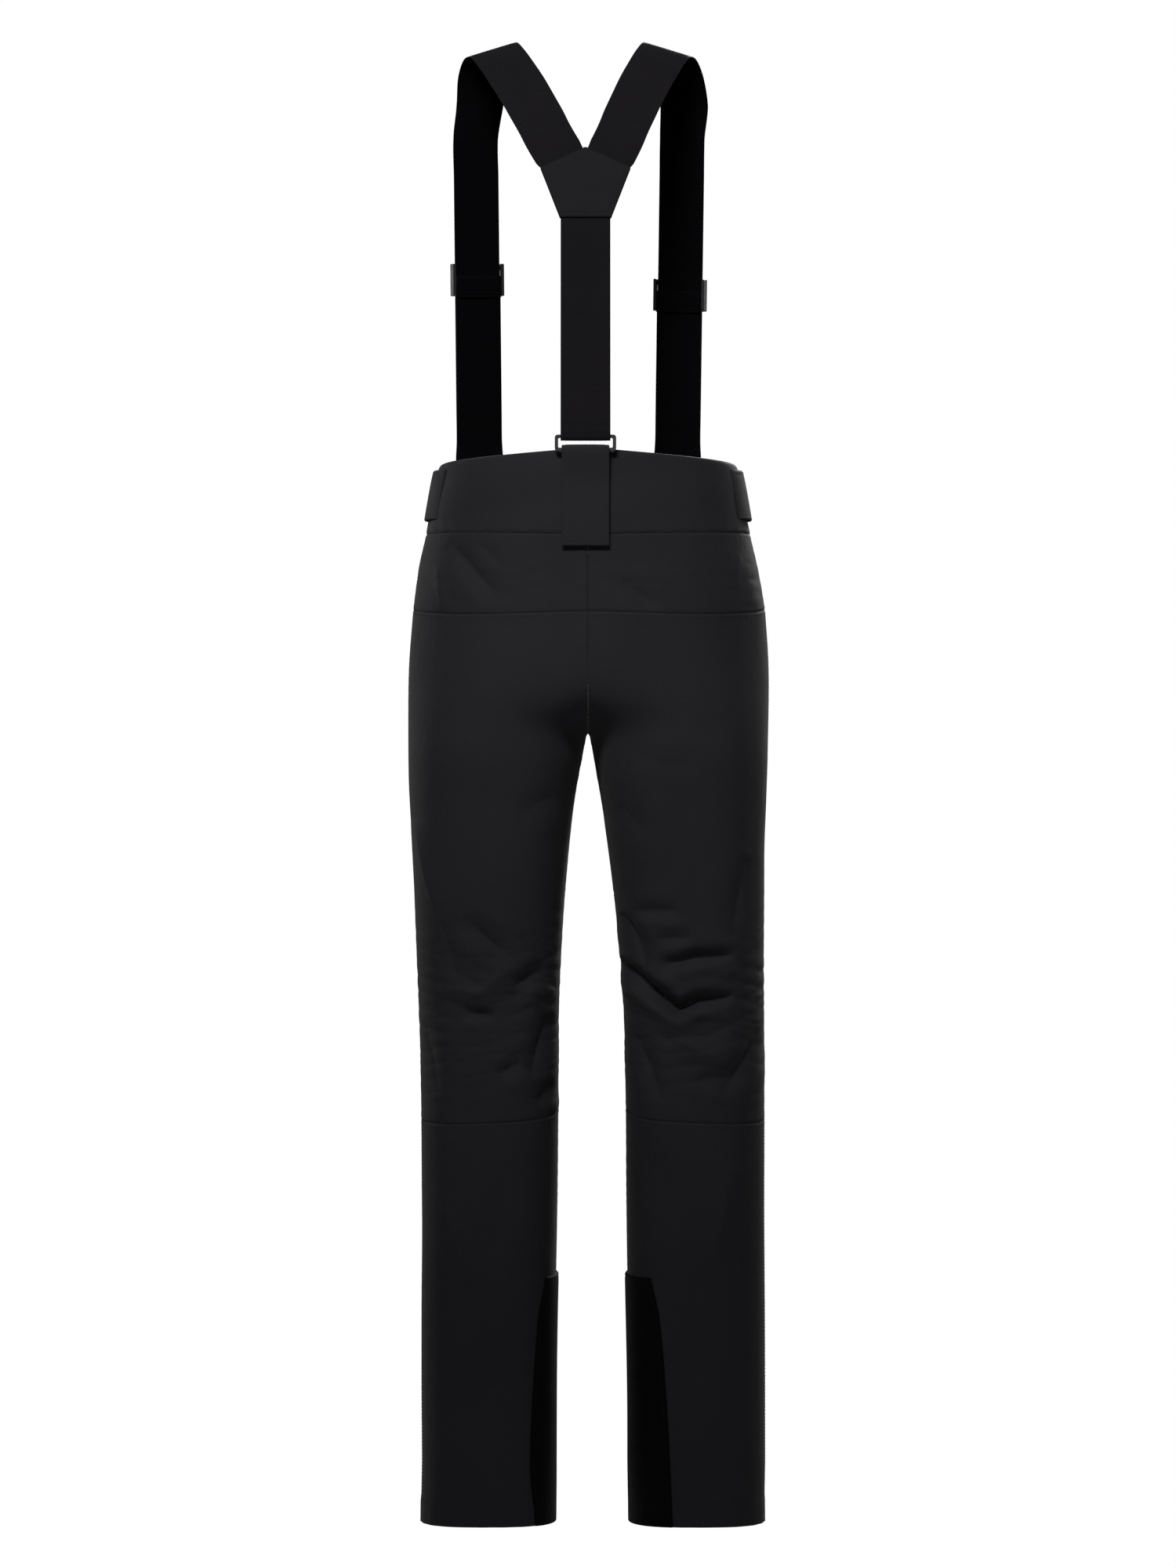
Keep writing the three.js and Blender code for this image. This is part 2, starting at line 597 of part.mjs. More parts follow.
function addRearFlap() {
  const barZ = REAR.ringZ - RING.height / 2 + RING.bar / 2;
  const radius = RING.thickness / 2 + GAP + FLAP.thickness;
  addPiece('back_ring', ringGeometry(RING.width, RING.height, RING.bar, RING.thickness), 'plastic', 'plastic',
    holder(v3(HARNESS_SHIFT, REAR.ringY, REAR.ringZ), v3(-1, 0, 0), v3(0, 0, 1)));
  const surface = (z, lift) => clothPoint(1, 0, z).y + lift;
  const hanging = [FLAP.bottomZ, -50, -20].map((z) => [surface(z, FLAP.lift), z]);
  const path = hookedPath(HARNESS_SHIFT, FLAP.halfWidth, [...hanging, [REAR.ringY + radius, barZ - 3]], {
    y: REAR.ringY, z: barZ, radius, fromAngle: 0, toAngle: Math.PI * 0.95, steps: 6,
  });
  addPiece('back_flap', band(path, FLAP.thickness), 'yoke');
  const onCloth = (from, to, lift, halfWidth) => [from, (from + to) / 2, to].map((z) => ({
    centre: v3(HARNESS_SHIFT, surface(z, lift), z), across: v3(halfWidth, 0, 0),
  }));
  addPiece('back_flap_base', band(onCloth(-66, 2, GAP + 0.8, 22), THIN), 'yoke');
  const hookLift = FLAP.lift - FLAP.thickness / 2 - GAP - THIN / 2;
  addPiece('back_flap_hook', band(onCloth(FLAP.bottomZ + 4, -30, hookLift, 21), THIN), 'hook');
}

const LOOP_RADIUS = RING.bar / 2 + GAP + STRAP / 2 + 0.8;   // strap round a ring's bar

function addRearStrap() {
  const barZ = REAR.ringZ + RING.height / 2 - RING.bar / 2;
  const wrap = LOOP_RADIUS;
  const outerY = REAR.ringY + wrap;
  const patchY = (z) => REAR.patchBottomY
    + (REAR.patchTopY - REAR.patchBottomY) * (z - REAR.patchBottomZ) / (REAR.patchTopZ - REAR.patchBottomZ);
  const straight = [258, 243, 180, 120, 60].map((z) => {
    const share = Math.max(0, (REAR.patchBottomZ - z) / (REAR.patchBottomZ - 32));
    const hangingY = REAR.patchBottomY + (outerY - REAR.patchBottomY) * share;
    return [z > REAR.patchBottomZ - 2 ? patchY(z) : hangingY, z];
  });
  const tail = [[REAR.ringY - wrap + 1.2, barZ + 6], [outerY - STRAP - 0.8, barZ + 14]];
  addPiece('back_strap', band(hookedPath(HARNESS_SHIFT, STRAP_WIDTH / 2, [...straight, [outerY, barZ + 8]], {
    y: REAR.ringY, z: barZ, radius: wrap, fromAngle: 0, toAngle: -Math.PI, steps: 6, tail,
  }), STRAP), 'webbing');
}

const PATCH = { topHalf: 45, bottomHalf: 25.5, shoulderDrop: 22, thickness: 1.5 };

// Five-sided patch, one leaf outside and one inside the three strap ends.
function addYPatch() {
  const rise = v3(0, REAR.patchTopY - REAR.patchBottomY, REAR.patchTopZ - REAR.patchBottomZ);
  const height = rise.length();
  const { topHalf, bottomHalf, shoulderDrop, thickness } = PATCH;
  const shape = new THREE.Shape();
  shape.moveTo(0, height);
  shape.lineTo(-topHalf, height - shoulderDrop);
  shape.lineTo(-bottomHalf, 0);
  shape.lineTo(bottomHalf, 0);
  shape.lineTo(topHalf, height - shoulderDrop);
  shape.lineTo(0, height);
  const seat = holder(v3(HARNESS_SHIFT, REAR.patchBottomY, REAR.patchBottomZ), v3(-1, 0, 0), rise);
  const standOff = STRAP / 2 + GAP + 0.8;
  const outer = addPiece('y_patch_outer', plate(shape, thickness, 4), 'patch', 'fabric', seat);
  outer.position.z = standOff;
  const inner = addPiece('y_patch_inner', plate(shape.clone(), thickness, 4), 'patch', 'fabric', seat);
  inner.position.z = -standOff;
}

// ---------------------------------------------------------------- braces: shoulders and fronts

const FRONT = {
  anchorShare: { left: 0.733, right: 0.783 },
  ringZ: -3,
  chest: v3(105, -64, 330),
  turn: THREE.MathUtils.degToRad(25),   // the straps turn outward with the chest
  sliderZ: { left: 196, right: 181 },
  layer: (STRAP + GAP) / 2,
};
const TAB_HALF = 23;         // half the width of the front tabs

// Straight run of a front strap: its start at the ring, its direction, its width and outward
// directions. point(z, outward) is a place on it.
function frontRun({ name, side }) {
  const start = clothPoint(side, FRONT.anchorShare[name], FRONT.ringZ, 7.5);
  const chest = v3(side * FRONT.chest.x + CHEST_SHIFT, FRONT.chest.y, FRONT.chest.z);
  const up = chest.clone().sub(start).normalize();
  const across = v3(side * Math.cos(FRONT.turn), Math.sin(FRONT.turn), 0);
  across.addScaledVector(up, -across.dot(up)).normalize();
  const outward = new THREE.Vector3().crossVectors(across, up).multiplyScalar(side);
  const point = (z, lift) => start.clone()
    .addScaledVector(up, (z - start.z) / up.z)
    .addScaledVector(outward, lift);
  return { start, up, across, outward, point };
}

// Arc of a band round a bar of the front ring, from the outer side under or over to the inner.
function frontArc({ start, up, outward }, barOffset, radius, from, to) {
  const steps = 6;
  return Array.from({ length: steps + 1 }, (_, i) => {
    const angle = from + (to - from) * i / steps;
    return start.clone().addScaledVector(up, barOffset + radius * Math.sin(angle))
      .addScaledVector(outward, radius * Math.cos(angle));
  });
}

const widened = (points, across, half) => (
  points.map((centre) => ({ centre, across: across.clone().multiplyScalar(half) })));

// Over the shoulder: place of the strap's middle, and how its width leans in, back and up.
const SHOULDER = [
  [104, -56, 375, 0.97, 0, 0.14], [101, -46, 404, 0.97, 0, 0.2], [95, -31, 421, 0.96, 0, 0.26],
  [88, -14, 424, 0.95, 0, 0.3], [80, 1, 414, 0.93, 0, 0.35], [70.4, 16, 398, 0.92, 0, 0.39],
  [60.5, 33, 380, 0.9, 0, 0.43], [50.8, 49.5, 360, 0.89, 0.03, 0.45], [42.6, 61.5, 343, 0.88, 0.06, 0.46],
  [36, 69.5, 328, 0.87, 0.1, 0.47], [27, 75.3, 311, 0.86, 0.12, 0.485],
];

// The strap ends lie under the patch edge, cut so that left and right don't meet.
function shoulderStations(side) {
  const risen = (z) => Math.min(1, Math.max(0, (z - 300) / 120));
  const sway = (z) => HARNESS_SHIFT + (SHOULDER_SHIFT - HARNESS_SHIFT) * risen(z);
  const over = SHOULDER.map(([x, y, z, flat, back, rise]) => ({
    centre: v3(side * x + sway(z), y, z),
    across: v3(side * flat, back, -rise).normalize().multiplyScalar(STRAP_WIDTH / 2),
  }));
  const end = { centre: v3(side * 20.35 + HARNESS_SHIFT, 77.8, 301), across: v3(side * 19.65, 2.65, -10.5) };
  return [...over, end];
}

const SLIDER = { width: 57, height: 33, rail: 3, depth: 7.4, barHeight: 5, barThickness: 1.7 };

// Three-bar slider: rails at the sides, two end bars outside the strap, one middle bar inside.
function strapSlider() {
  const { height } = SLIDER;
  const railShape = () => roundedRectangle(SLIDER.rail, height, SLIDER.rail * 0.4);
  const rail = (x) => plate(railShape(), SLIDER.depth, 2).translate(x, 0, 0.9);
  const edge = (SLIDER.width - SLIDER.rail) / 2;
  const clear = STRAP / 2 + GAP + SLIDER.barThickness / 2;
  const crossBar = (y, z) => bar(2 * edge, SLIDER.barHeight, SLIDER.barThickness, 0, y, z);
  const outside = FRONT.layer + clear;
  const ends = [-1, 1].map((end) => crossBar(end * (height / 2 - 4), outside));
  return joined([rail(-edge), rail(edge), ...ends, crossBar(0, FRONT.layer - clear)]);
}

function addShoulderHalf({ name, side }) {
  const run = frontRun({ name, side });
  const { start, up, across, outward } = run;
  const half = STRAP_WIDTH / 2;
  const topBar = RING.height / 2 - RING.bar / 2;
  const outerRun = [340, 300, 240, 180, 120, 60, 32].map((z) => run.point(z, FRONT.layer));
  const loop = frontArc(run, topBar, LOOP_RADIUS, 0, -Math.PI * 0.92);
  const front = widened([...outerRun, run.point(16, LOOP_RADIUS - 0.6), ...loop], across, half);
  const shoulder = shoulderStations(side).reverse();
  addPiece(`${name}_shoulder_strap`, band([...shoulder, ...front], STRAP), 'webbing');

  const sliderZ = FRONT.sliderZ[name];
  const seatAt = (origin) => holder(origin, across.clone().multiplyScalar(side), up);
  addPiece(`${name}_strap_slider`, strapSlider(), 'plastic', 'plastic', seatAt(run.point(sliderZ, 0)));
  const inner = [sliderZ - 5, 120, 60, 32].map((z) => run.point(z, -FRONT.layer));
  const innerEnd = [run.point(16, -LOOP_RADIUS + 0.6), run.point(start.z + topBar + 1, -LOOP_RADIUS)];
  addPiece(`${name}_strap_return`, band(widened([...inner, ...innerEnd], across, half), STRAP), 'webbing');

  addPiece(`${name}_front_ring`, ringGeometry(RING.width - 1, RING.height, RING.bar, RING.thickness),
    'plastic', 'plastic', seatAt(start));
  const share = FRONT.anchorShare[name];
  const sewn = [-64, -40, -22].map((z) => clothPoint(side, share, z, GAP + 1.1));
  const bend = start.clone().addScaledVector(outward, LOOP_RADIUS).addScaledVector(up, -topBar - 3);
  const over = frontArc(run, -topBar, LOOP_RADIUS, 0, Math.PI * 0.92);
  addPiece(`${name}_front_tab`, band(widened([...sewn, bend, ...over], across, TAB_HALF), 1.4), 'yoke');
}

bothSides.forEach(addShellHalf);
bothSides.forEach(addScuffGuard);
bothSides.forEach(addInnerHalf);
addWaistband();
bothSides.forEach(addWaistTab);
addFly();
addWaistOverlap();
bothSides.forEach(addHandPocket);
addRearFlap();
addRearStrap();
addYPatch();
bothSides.forEach(addShoulderHalf);

export default pants;
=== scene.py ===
"""Ski pants with detachable braces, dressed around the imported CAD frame. Metres, +Z up, front -Y."""
import math

import bpy
import numpy as np
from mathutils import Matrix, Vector


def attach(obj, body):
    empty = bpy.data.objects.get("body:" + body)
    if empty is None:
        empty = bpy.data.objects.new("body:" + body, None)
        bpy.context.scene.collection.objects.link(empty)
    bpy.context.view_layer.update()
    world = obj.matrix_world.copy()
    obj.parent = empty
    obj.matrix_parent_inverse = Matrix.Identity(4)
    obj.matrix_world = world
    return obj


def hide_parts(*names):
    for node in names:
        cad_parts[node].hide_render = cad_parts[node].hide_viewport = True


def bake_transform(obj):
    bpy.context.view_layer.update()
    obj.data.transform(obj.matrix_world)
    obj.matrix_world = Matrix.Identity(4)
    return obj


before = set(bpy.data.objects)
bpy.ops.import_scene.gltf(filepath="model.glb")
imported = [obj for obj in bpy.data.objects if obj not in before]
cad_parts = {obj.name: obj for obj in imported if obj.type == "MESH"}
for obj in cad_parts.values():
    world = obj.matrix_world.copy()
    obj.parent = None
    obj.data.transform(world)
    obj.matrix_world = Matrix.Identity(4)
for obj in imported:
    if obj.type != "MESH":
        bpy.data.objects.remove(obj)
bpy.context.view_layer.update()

SIDES = (("left", 1), ("right", -1))

# ------------------------------------------------------------------ driving dimensions

HEM_Z = -1.0625
CROTCH_Z = -0.271
SEAT_Z = -0.150
KNEE_TOP_Z = -0.430
KNEE_FRONT_Z = -0.655
FLY_TOP_Z = -0.082
FLY_BOTTOM_Z = -0.188
GUARD_TOP_Z = -0.814
GAITER_TOP_Z = -0.850
GAITER_BOTTOM_Z = -1.045
STRAP_WIDTH = 0.0495
STRAP_THICK = 0.0018
HARNESS_SHIFT = 0.0025
SHOULDER_SHIFT = 0.008
CHEST_SHIFT = 0.0092
CLOTH = 0.0012               # thickness of a shell panel as it shows at its edges
WAIST_CLOTH = 0.0018
LINING_CLOTH = 0.0010
SEAM_GAP = 0.00002           # clearance between two panels at their seam


def bell(distance, width):
    """1 at no distance, fading smoothly over the width."""
    return np.exp(-(distance / width) ** 2)


def outline(points):
    """f(x) for a monotone cubic through the points, flat beyond both ends; x may be an array."""
    xs, ys = np.array(sorted(points), float).T
    widths = np.diff(xs)
    slopes = np.diff(ys) / widths
    tangents = np.empty(len(xs))
    tangents[0], tangents[-1] = slopes[0], slopes[-1]
    product = slopes[:-1] * slopes[1:]
    total = np.where(product > 0, slopes[:-1] + slopes[1:], 1)
    tangents[1:-1] = np.where(product > 0, 2 * product / total, 0)

    def value(x):
        x = np.clip(x, xs[0], xs[-1])
        i = np.clip(np.searchsorted(xs, x, side="right") - 1, 0, len(widths) - 1)
        s = (x - xs[i]) / widths[i]
        start = (1 + 2 * s) * (1 - s) ** 2 * ys[i] + s * (1 - s) ** 2 * widths[i] * tangents[i]
        end = s * s * (3 - 2 * s) * ys[i + 1] + s * s * (s - 1) * widths[i] * tangents[i + 1]
        return start + end

    return value


# Outlines of the body against height, the same as the CAD panels.
OUTER = outline([(0.012, 0.147), (-0.003, 0.1515), (-0.068, 0.1637), (-0.106, 0.172), (-0.154, 0.178),
                 (-0.225, 0.182), (-0.297, 0.1816), (-0.392, 0.1776), (-0.558, 0.175), (-0.654, 0.1737),
                 (HEM_Z, 0.1733)])
INSEAM = outline([(CROTCH_Z, 0), (-0.297, 0.0067), (-0.344, 0.0147), (-0.392, 0.0202), (-0.463, 0.0266),
                  (-0.558, 0.032), (-0.654, 0.034), (-0.815, 0.0365), (HEM_Z, 0.039)])
BACK = outline([(0.012, 0.108), (-0.072, 0.115), (-0.148, 0.123), (-0.215, 0.126), (CROTCH_Z, 0.122),
                (-0.330, 0.110), (-0.450, 0.092), (-0.560, 0.080), (-0.660, 0.078), (HEM_Z, 0.077)])
BELLY = outline([(0.012, -0.1063), (-0.080, -0.1114), (-0.190, -0.1175), (-0.240, -0.119),
                 (CROTCH_Z, -0.117), (-0.330, -0.108), (-0.450, -0.095), (-0.560, -0.088),
                 (-0.660, -0.082), (-0.800, -0.075), (HEM_Z, -0.073)])
BOXINESS = outline([(0.012, 2.2), (-0.148, 2.4), (CROTCH_Z, 2.5), (-0.450, 2.7), (HEM_Z, 2.8)])
LEAN = outline([(-0.320, 0), (-0.680, 0.0044), (HEM_Z, 0.0044)])

# Seams: share of the way round a half (0 centre back, 0.5 side, 1 centre front) to height.
WAIST_TOP = outline([(0, 0.0145), (0.25, 0.007), (0.5, 0.001), (1, -0.018)])
WAIST_SEAM = outline([(0, -0.072), (0.5, -0.068), (1, -0.079)])
YOKE_SEAM = outline([(0, -0.1486), (0.24, -0.151), (0.5, -0.1435)])
CALF_SEAM = outline([(0, -0.645), (0.18, -0.657), (0.35, -0.660), (0.5, -0.658)])


def signed_power(value, power):
    """A power that keeps the value's sign."""
    return np.sign(value) * np.abs(value) ** power


# ------------------------------------------------------------------ body surface as a table

TABLE_STEP = 0.002
TABLE_Z = np.arange(0.018, HEM_Z - 0.0045, -TABLE_STEP)
TABLE_SHARES = 361
SECTION_POINTS = 721
CROTCH_SMOOTHING = 0.026     # reach of the smoothing along the height, where the legs part
CROTCH_ZONE = 0.055          # how far from the crotch it starts to fade


def section_row(z):
    """Points of one half's section at height z, evenly spaced along the cloth, and its length."""
    outer = float(OUTER(z))
    if z <= CROTCH_Z:
        inner = float(INSEAM(z))
    else:
        parted = min(1, max(0, (SEAT_Z - z) / (SEAT_Z - CROTCH_Z)))
        inner = -outer * (1 - parted ** 2)
    centre, half = (outer + inner) / 2, (outer - inner) / 2
    power = 2 / float(BOXINESS(z))
    middle, depth = (BACK(z) + BELLY(z)) / 2, (BACK(z) - BELLY(z)) / 2
    reach = -1 if inner > 0 else max(-1, -centre / half)
    start = math.asin(signed_power(reach, 1 / power))
    angle = np.linspace(start, math.pi - start, SECTION_POINTS)
    x = centre + half * signed_power(np.sin(angle), power)
    y = middle + depth * signed_power(np.cos(angle), power)
    run = np.concatenate([[0], np.cumsum(np.hypot(np.diff(x), np.diff(y)))])
    even = np.linspace(0, run[-1], TABLE_SHARES)
    return np.interp(even, run, x), np.interp(even, run, y), run[-1]


def softened(values):
    """The table smoothed along the height around the crotch, where the legs part."""
    rows = 40
    weights = bell(np.arange(-rows, rows + 1) * TABLE_STEP, CROTCH_SMOOTHING)
    weights /= weights.sum()
    padded = np.concatenate([values[:1].repeat(rows, 0), values, values[-1:].repeat(rows, 0)])
    smooth = sum(w * padded[i:i + len(values)] for i, w in enumerate(weights))
    near = np.clip(1.8 - np.abs(TABLE_Z - CROTCH_Z) / CROTCH_ZONE, 0, 1)
    near = near.reshape(-1, *[1] * (values.ndim - 1))
    return values * (1 - near) + smooth * near


section_rows = [section_row(z) for z in TABLE_Z]
TABLE_XY = softened(np.array([[row[0], row[1]] for row in section_rows]).transpose(0, 2, 1))
TABLE_LENGTH = softened(np.array([row[2] for row in section_rows]))


def close_centre_seams():
    """Above the crotch the two halves meet in the middle, whatever the smoothing did."""
    columns = 30
    fade = np.clip(1 - np.arange(TABLE_SHARES) / columns, 0, 1)
    joined = (TABLE_Z > CROTCH_Z)[:, None]
    for edge, weights in ((0, fade), (-1, fade[::-1])):
        TABLE_XY[..., 0] -= joined * TABLE_XY[:, edge, 0][:, None] * weights


close_centre_seams()


def length_at(z):
    """Length round one half of the body at a height."""
    return np.interp(-np.asarray(z, float), -TABLE_Z, TABLE_LENGTH)


def share_of(distance, z):
    """A distance round the body as a share of one half's length."""
    return distance / length_at(z)


def base_point(share, z):
    """Bare surface point (x, y) of the wearer's left half and its outward normal."""
    z = np.asarray(z, float)
    share = np.asarray(share, float) + 0 * z
    z = z + 0 * share
    share = np.where(z < CROTCH_Z, share - np.floor(share), np.clip(share, 0, 1))
    row = np.clip((TABLE_Z[0] - z) / TABLE_STEP, 0, len(TABLE_Z) - 1.001)
    low = row.astype(int)
    blend = (row - low)[..., None]

    def at(s):
        column = np.clip(s, 0, 1) * (TABLE_SHARES - 1)
        left = np.clip(column.astype(int), 0, TABLE_SHARES - 2)
        part = (column - left)[..., None]
        upper = TABLE_XY[low, left] * (1 - part) + TABLE_XY[low, left + 1] * part
        lower = TABLE_XY[low + 1, left] * (1 - part) + TABLE_XY[low + 1, left + 1] * part
        return upper * (1 - blend) + lower * blend

    here = at(share)
    reach = 0.006
    run = at(share + reach) - at(share - reach)
    run /= np.linalg.norm(run, axis=-1, keepdims=True)
    normal = np.stack([-run[..., 1], run[..., 0]], -1)
    return here, normal


# ------------------------------------------------------------------ folds in the cloth

# A fold is a line on the back of a leg, in (x, z), with its depth and half width. Negative depth
# is a groove, and a lip of cloth stands up on its lower side.
FOLDS = [
    # behind the right knee
    ([(-0.033, -0.449), (-0.047, -0.470), (-0.060, -0.506)], -0.0050, 0.008),
    ([(-0.031, -0.496), (-0.059, -0.521), (-0.090, -0.544), (-0.108, -0.536), (-0.146, -0.532)],
     -0.0125, 0.008),
    ([(-0.074, -0.500), (-0.108, -0.491), (-0.148, -0.491)], -0.0080, 0.008),
    ([(-0.044, -0.447), (-0.090, -0.446)], -0.0034, 0.009),
    ([(-0.068, -0.474), (-0.105, -0.473)], -0.0032, 0.008),
    ([(-0.044, -0.565), (-0.059, -0.598), (-0.073, -0.637)], -0.0044, 0.009),
    ([(-0.172, -0.565), (-0.159, -0.596), (-0.132, -0.634)], -0.0042, 0.010),
    ([(-0.159, -0.392), (-0.144, -0.475)], -0.0036, 0.012),
    ([(-0.085, -0.575), (-0.120, -0.590), (-0.150, -0.580)], 0.0034, 0.014),
    ([(-0.110, -0.615), (-0.145, -0.612)], -0.0026, 0.009),
    # behind the left knee
    ([(0.172, -0.356), (0.143, -0.488)], 0.0042, 0.012),
    ([(0.160, -0.420), (0.128, -0.520)], -0.0026, 0.011),
    ([(0.123, -0.452), (0.083, -0.491)], -0.0042, 0.012),
    ([(0.126, -0.547), (0.093, -0.551)], -0.0044, 0.008),
    ([(0.150, -0.520), (0.110, -0.530), (0.070, -0.500)], 0.0030, 0.013),
    ([(0.042, -0.505), (0.056, -0.511), (0.075, -0.524)], -0.0052, 0.010),
    ([(0.038, -0.551), (0.056, -0.611)], -0.0050, 0.010),
    ([(0.065, -0.596), (0.090, -0.611)], -0.0038, 0.009),
    ([(0.035, -0.619), (0.050, -0.641)], -0.0038, 0.009),
    ([(0.165, -0.560), (0.150, -0.630)], -0.0024, 0.012),
    # below the waistband
    ([(0.140, -0.078), (0.116, -0.104), (0.091, -0.134)], -0.0034, 0.011),
    ([(0.110, -0.080), (0.085, -0.105)], -0.0018, 0.010),
    ([(-0.035, -0.118), (-0.068, -0.146)], -0.0026, 0.010),
    ([(0.150, -0.100), (0.146, -0.148)], 0.0028, 0.010),
    ([(-0.152, -0.088), (-0.146, -0.126)], 0.0016, 0.010),
    ([(-0.166, -0.117), (-0.160, -0.142)], 0.0012, 0.008),
    # seat and inner thighs
    ([(-0.035, -0.285), (-0.075, -0.300), (-0.110, -0.302)], -0.0012, 0.014),
    ([(0.030, -0.330), (0.070, -0.350)], -0.0018, 0.013),
    ([(-0.030, -0.340), (-0.060, -0.372)], -0.0018, 0.013),
    # shins
    ([(0.150, -0.720), (0.120, -0.820)], 0.0022, 0.016),
    ([(-0.145, -0.700), (-0.125, -0.800)], 0.0022, 0.016),
    ([(0.080, -0.700), (0.095, -0.790)], -0.0018, 0.014),
    ([(-0.075, -0.690), (-0.085, -0.770)], -0.0018, 0.014),
]
# Folds on the front, where the hips crease and the knees are shaped.
FRONT_FOLDS = [fold for s in (1, -1) for fold in (
    ([(s * 0.030, -0.262), (s * 0.060, -0.238), (s * 0.105, -0.222)], -0.0048, 0.011),
    ([(s * 0.025, -0.290), (s * 0.070, -0.272), (s * 0.120, -0.262)], -0.0036, 0.012),
    ([(s * 0.060, -0.330), (s * 0.085, -0.400)], -0.0022, 0.014),
    ([(s * 0.045, -0.640), (s * 0.100, -0.630), (s * 0.160, -0.640)], -0.0036, 0.012),
    ([(s * 0.060, -0.605), (s * 0.110, -0.598)], -0.0026, 0.011),
    ([(s * 0.070, -0.690), (s * 0.130, -0.700)], -0.0026, 0.013),
    ([(s * 0.110, -0.820), (s * 0.130, -0.930)], 0.0022, 0.016),
)]


def nearest_on(line, x, z):
    """For places x, z: the distance to a polyline, the share of its length there, and the drop from it."""
    line = np.array(line)
    runs = np.linalg.norm(np.diff(line, axis=0), axis=1)
    nearest = np.full(x.shape, 1e9)
    along, below = np.zeros_like(x), np.zeros_like(x)
    walked = 0
    for (ax, az), (bx, bz), run in zip(line[:-1], line[1:], runs):
        dx, dz = (bx - ax) / run, (bz - az) / run
        t = np.clip((x - ax) * dx + (z - az) * dz, 0, run)
        away_x, away_z = x - ax - t * dx, z - az - t * dz
        distance = np.hypot(away_x, away_z)
        closer = distance < nearest
        nearest = np.where(closer, distance, nearest)
        along = np.where(closer, walked + t, along)
        below = np.where(closer, -away_z, below)
        walked += run
    return nearest, along / runs.sum(), below


def fold_depth(x, z, folds):
    """Displacement by the folds at places x, z: a sharp groove, a lip below it and a sag above it."""
    total = np.zeros_like(x)
    for line, depth, width in folds:
        nearest, along, below = nearest_on(line, x, z)
        taper = np.sin(np.clip(along, 0, 1) * math.pi) ** 0.6
        groove = (0.45 * bell(nearest, width) + 0.55 * np.exp(-nearest / (0.35 * width))) * taper
        lip = bell(nearest - 1.7 * width, 1.1 * width) * taper * np.clip(below / width, 0, 1)
        sag = bell(nearest - 1.4 * width, 1.3 * width) * taper * np.clip(-below / width, 0, 1)
        total += 1.25 * depth * groove - 0.5 * depth * lip - 0.35 * depth * sag
    return total


WAVE_HEIGHT = 0.00055
WAVES = np.random.default_rng(7).uniform(-1, 1, (14, 4))


def slow_waves(x, y, z):
    """Soft unevenness of hanging cloth, a sum of long waves."""
    total = np.zeros_like(x)
    for i, (a, b, c, phase) in enumerate(WAVES):
        scale = 22 + 3.2 * i
        total += np.sin(scale * (a * x + b * y) + scale * 0.55 * c * z + 6 * phase) / (1 + 0.25 * i)
    return WAVE_HEIGHT * total


WRINKLE_DEPTH = 0.00085
WRINKLES = np.random.default_rng(19).uniform(-1, 1, (9, 3))


def knee_wrinkles(x, z):
    """Fine slanting wrinkles, where the cloth has bunched behind the knees and over the seat."""
    knee = bell(z + 0.545, 0.085)
    seat = 0.35 * bell(z + 0.115, 0.03)
    total = np.zeros_like(x)
    for slope, pace, phase in WRINKLES:
        place = z + 0.35 * slope * x + 0.010 * np.sin(34 * x + 5 * phase)
        ridge = np.sin(place * (150 + 70 * pace) + 6 * phase)
        patchy = np.clip(np.sin(27 * x + 19 * z + 7 * phase + 4 * pace), 0, 1)
        total += patchy * (1 - np.abs(ridge)) ** 2
    return -WRINKLE_DEPTH * total * (knee + seat)


def cloth(side, share, z, lift=0.0, folded=1.0):
    """Points on the draped cloth of one half, lift metres outside its outer face."""
    flat, normal = base_point(share, z)
    z = np.asarray(z, float) + 0 * flat[..., 0]
    x = side * flat[..., 0] - LEAN(z)
    y = flat[..., 1]
    nx, ny = side * normal[..., 0], normal[..., 1]
    facing_back = np.clip(ny * 1.6 + 0.35, 0, 1)
    facing_front = np.clip(-ny * 1.6 + 0.35, 0, 1)
    moved = fold_depth(x, z, FOLDS) * facing_back + fold_depth(x, z, FRONT_FOLDS) * facing_front
    moved = moved + knee_wrinkles(x, z) * facing_back
    # The waves are calm at the waistband and the hem, and nothing moves along the centre seams.
    calm = np.clip((-0.085 - z) / 0.06, 0.12, 1) * np.clip((z - HEM_Z) / 0.06, 0.3, 1)
    seam = np.where(z > CROTCH_Z - 0.03, np.clip(np.abs(x) / 0.03, 0, 1), 1)
    moved = (moved + slow_waves(x, y, z) * calm) * seam * folded
    out = lift + moved
    return np.stack([x + nx * out, y + ny * out, z], -1)


# ------------------------------------------------------------------ meshes

EDGE_ROWS = (0, 0.0005, 0.0011, 0.0018, 0.0027, 0.004)     # extra rows beside a seam


def spaced(length, step, edges=EDGE_ROWS):
    """Places from 0 to 1 along a length: close together by both ends, then evenly."""
    rim = [d for d in edges if d < length * 0.3]
    count = max(2, math.ceil((length - 2 * rim[-1]) / step))
    middle = np.linspace(rim[-1], length - rim[-1], count + 1)
    return np.concatenate([rim[:-1], middle, length - np.array(rim[:-1])[::-1]]) / length


def grid_faces(rows, columns, offset=0, flip=False):
    """Quads of a grid of points."""
    index = np.arange(rows * columns).reshape(rows, columns) + offset
    faces = np.stack([index[:-1, :-1], index[1:, :-1], index[1:, 1:], index[:-1, 1:]], -1).reshape(-1, 4)
    return faces[:, ::-1] if flip else faces


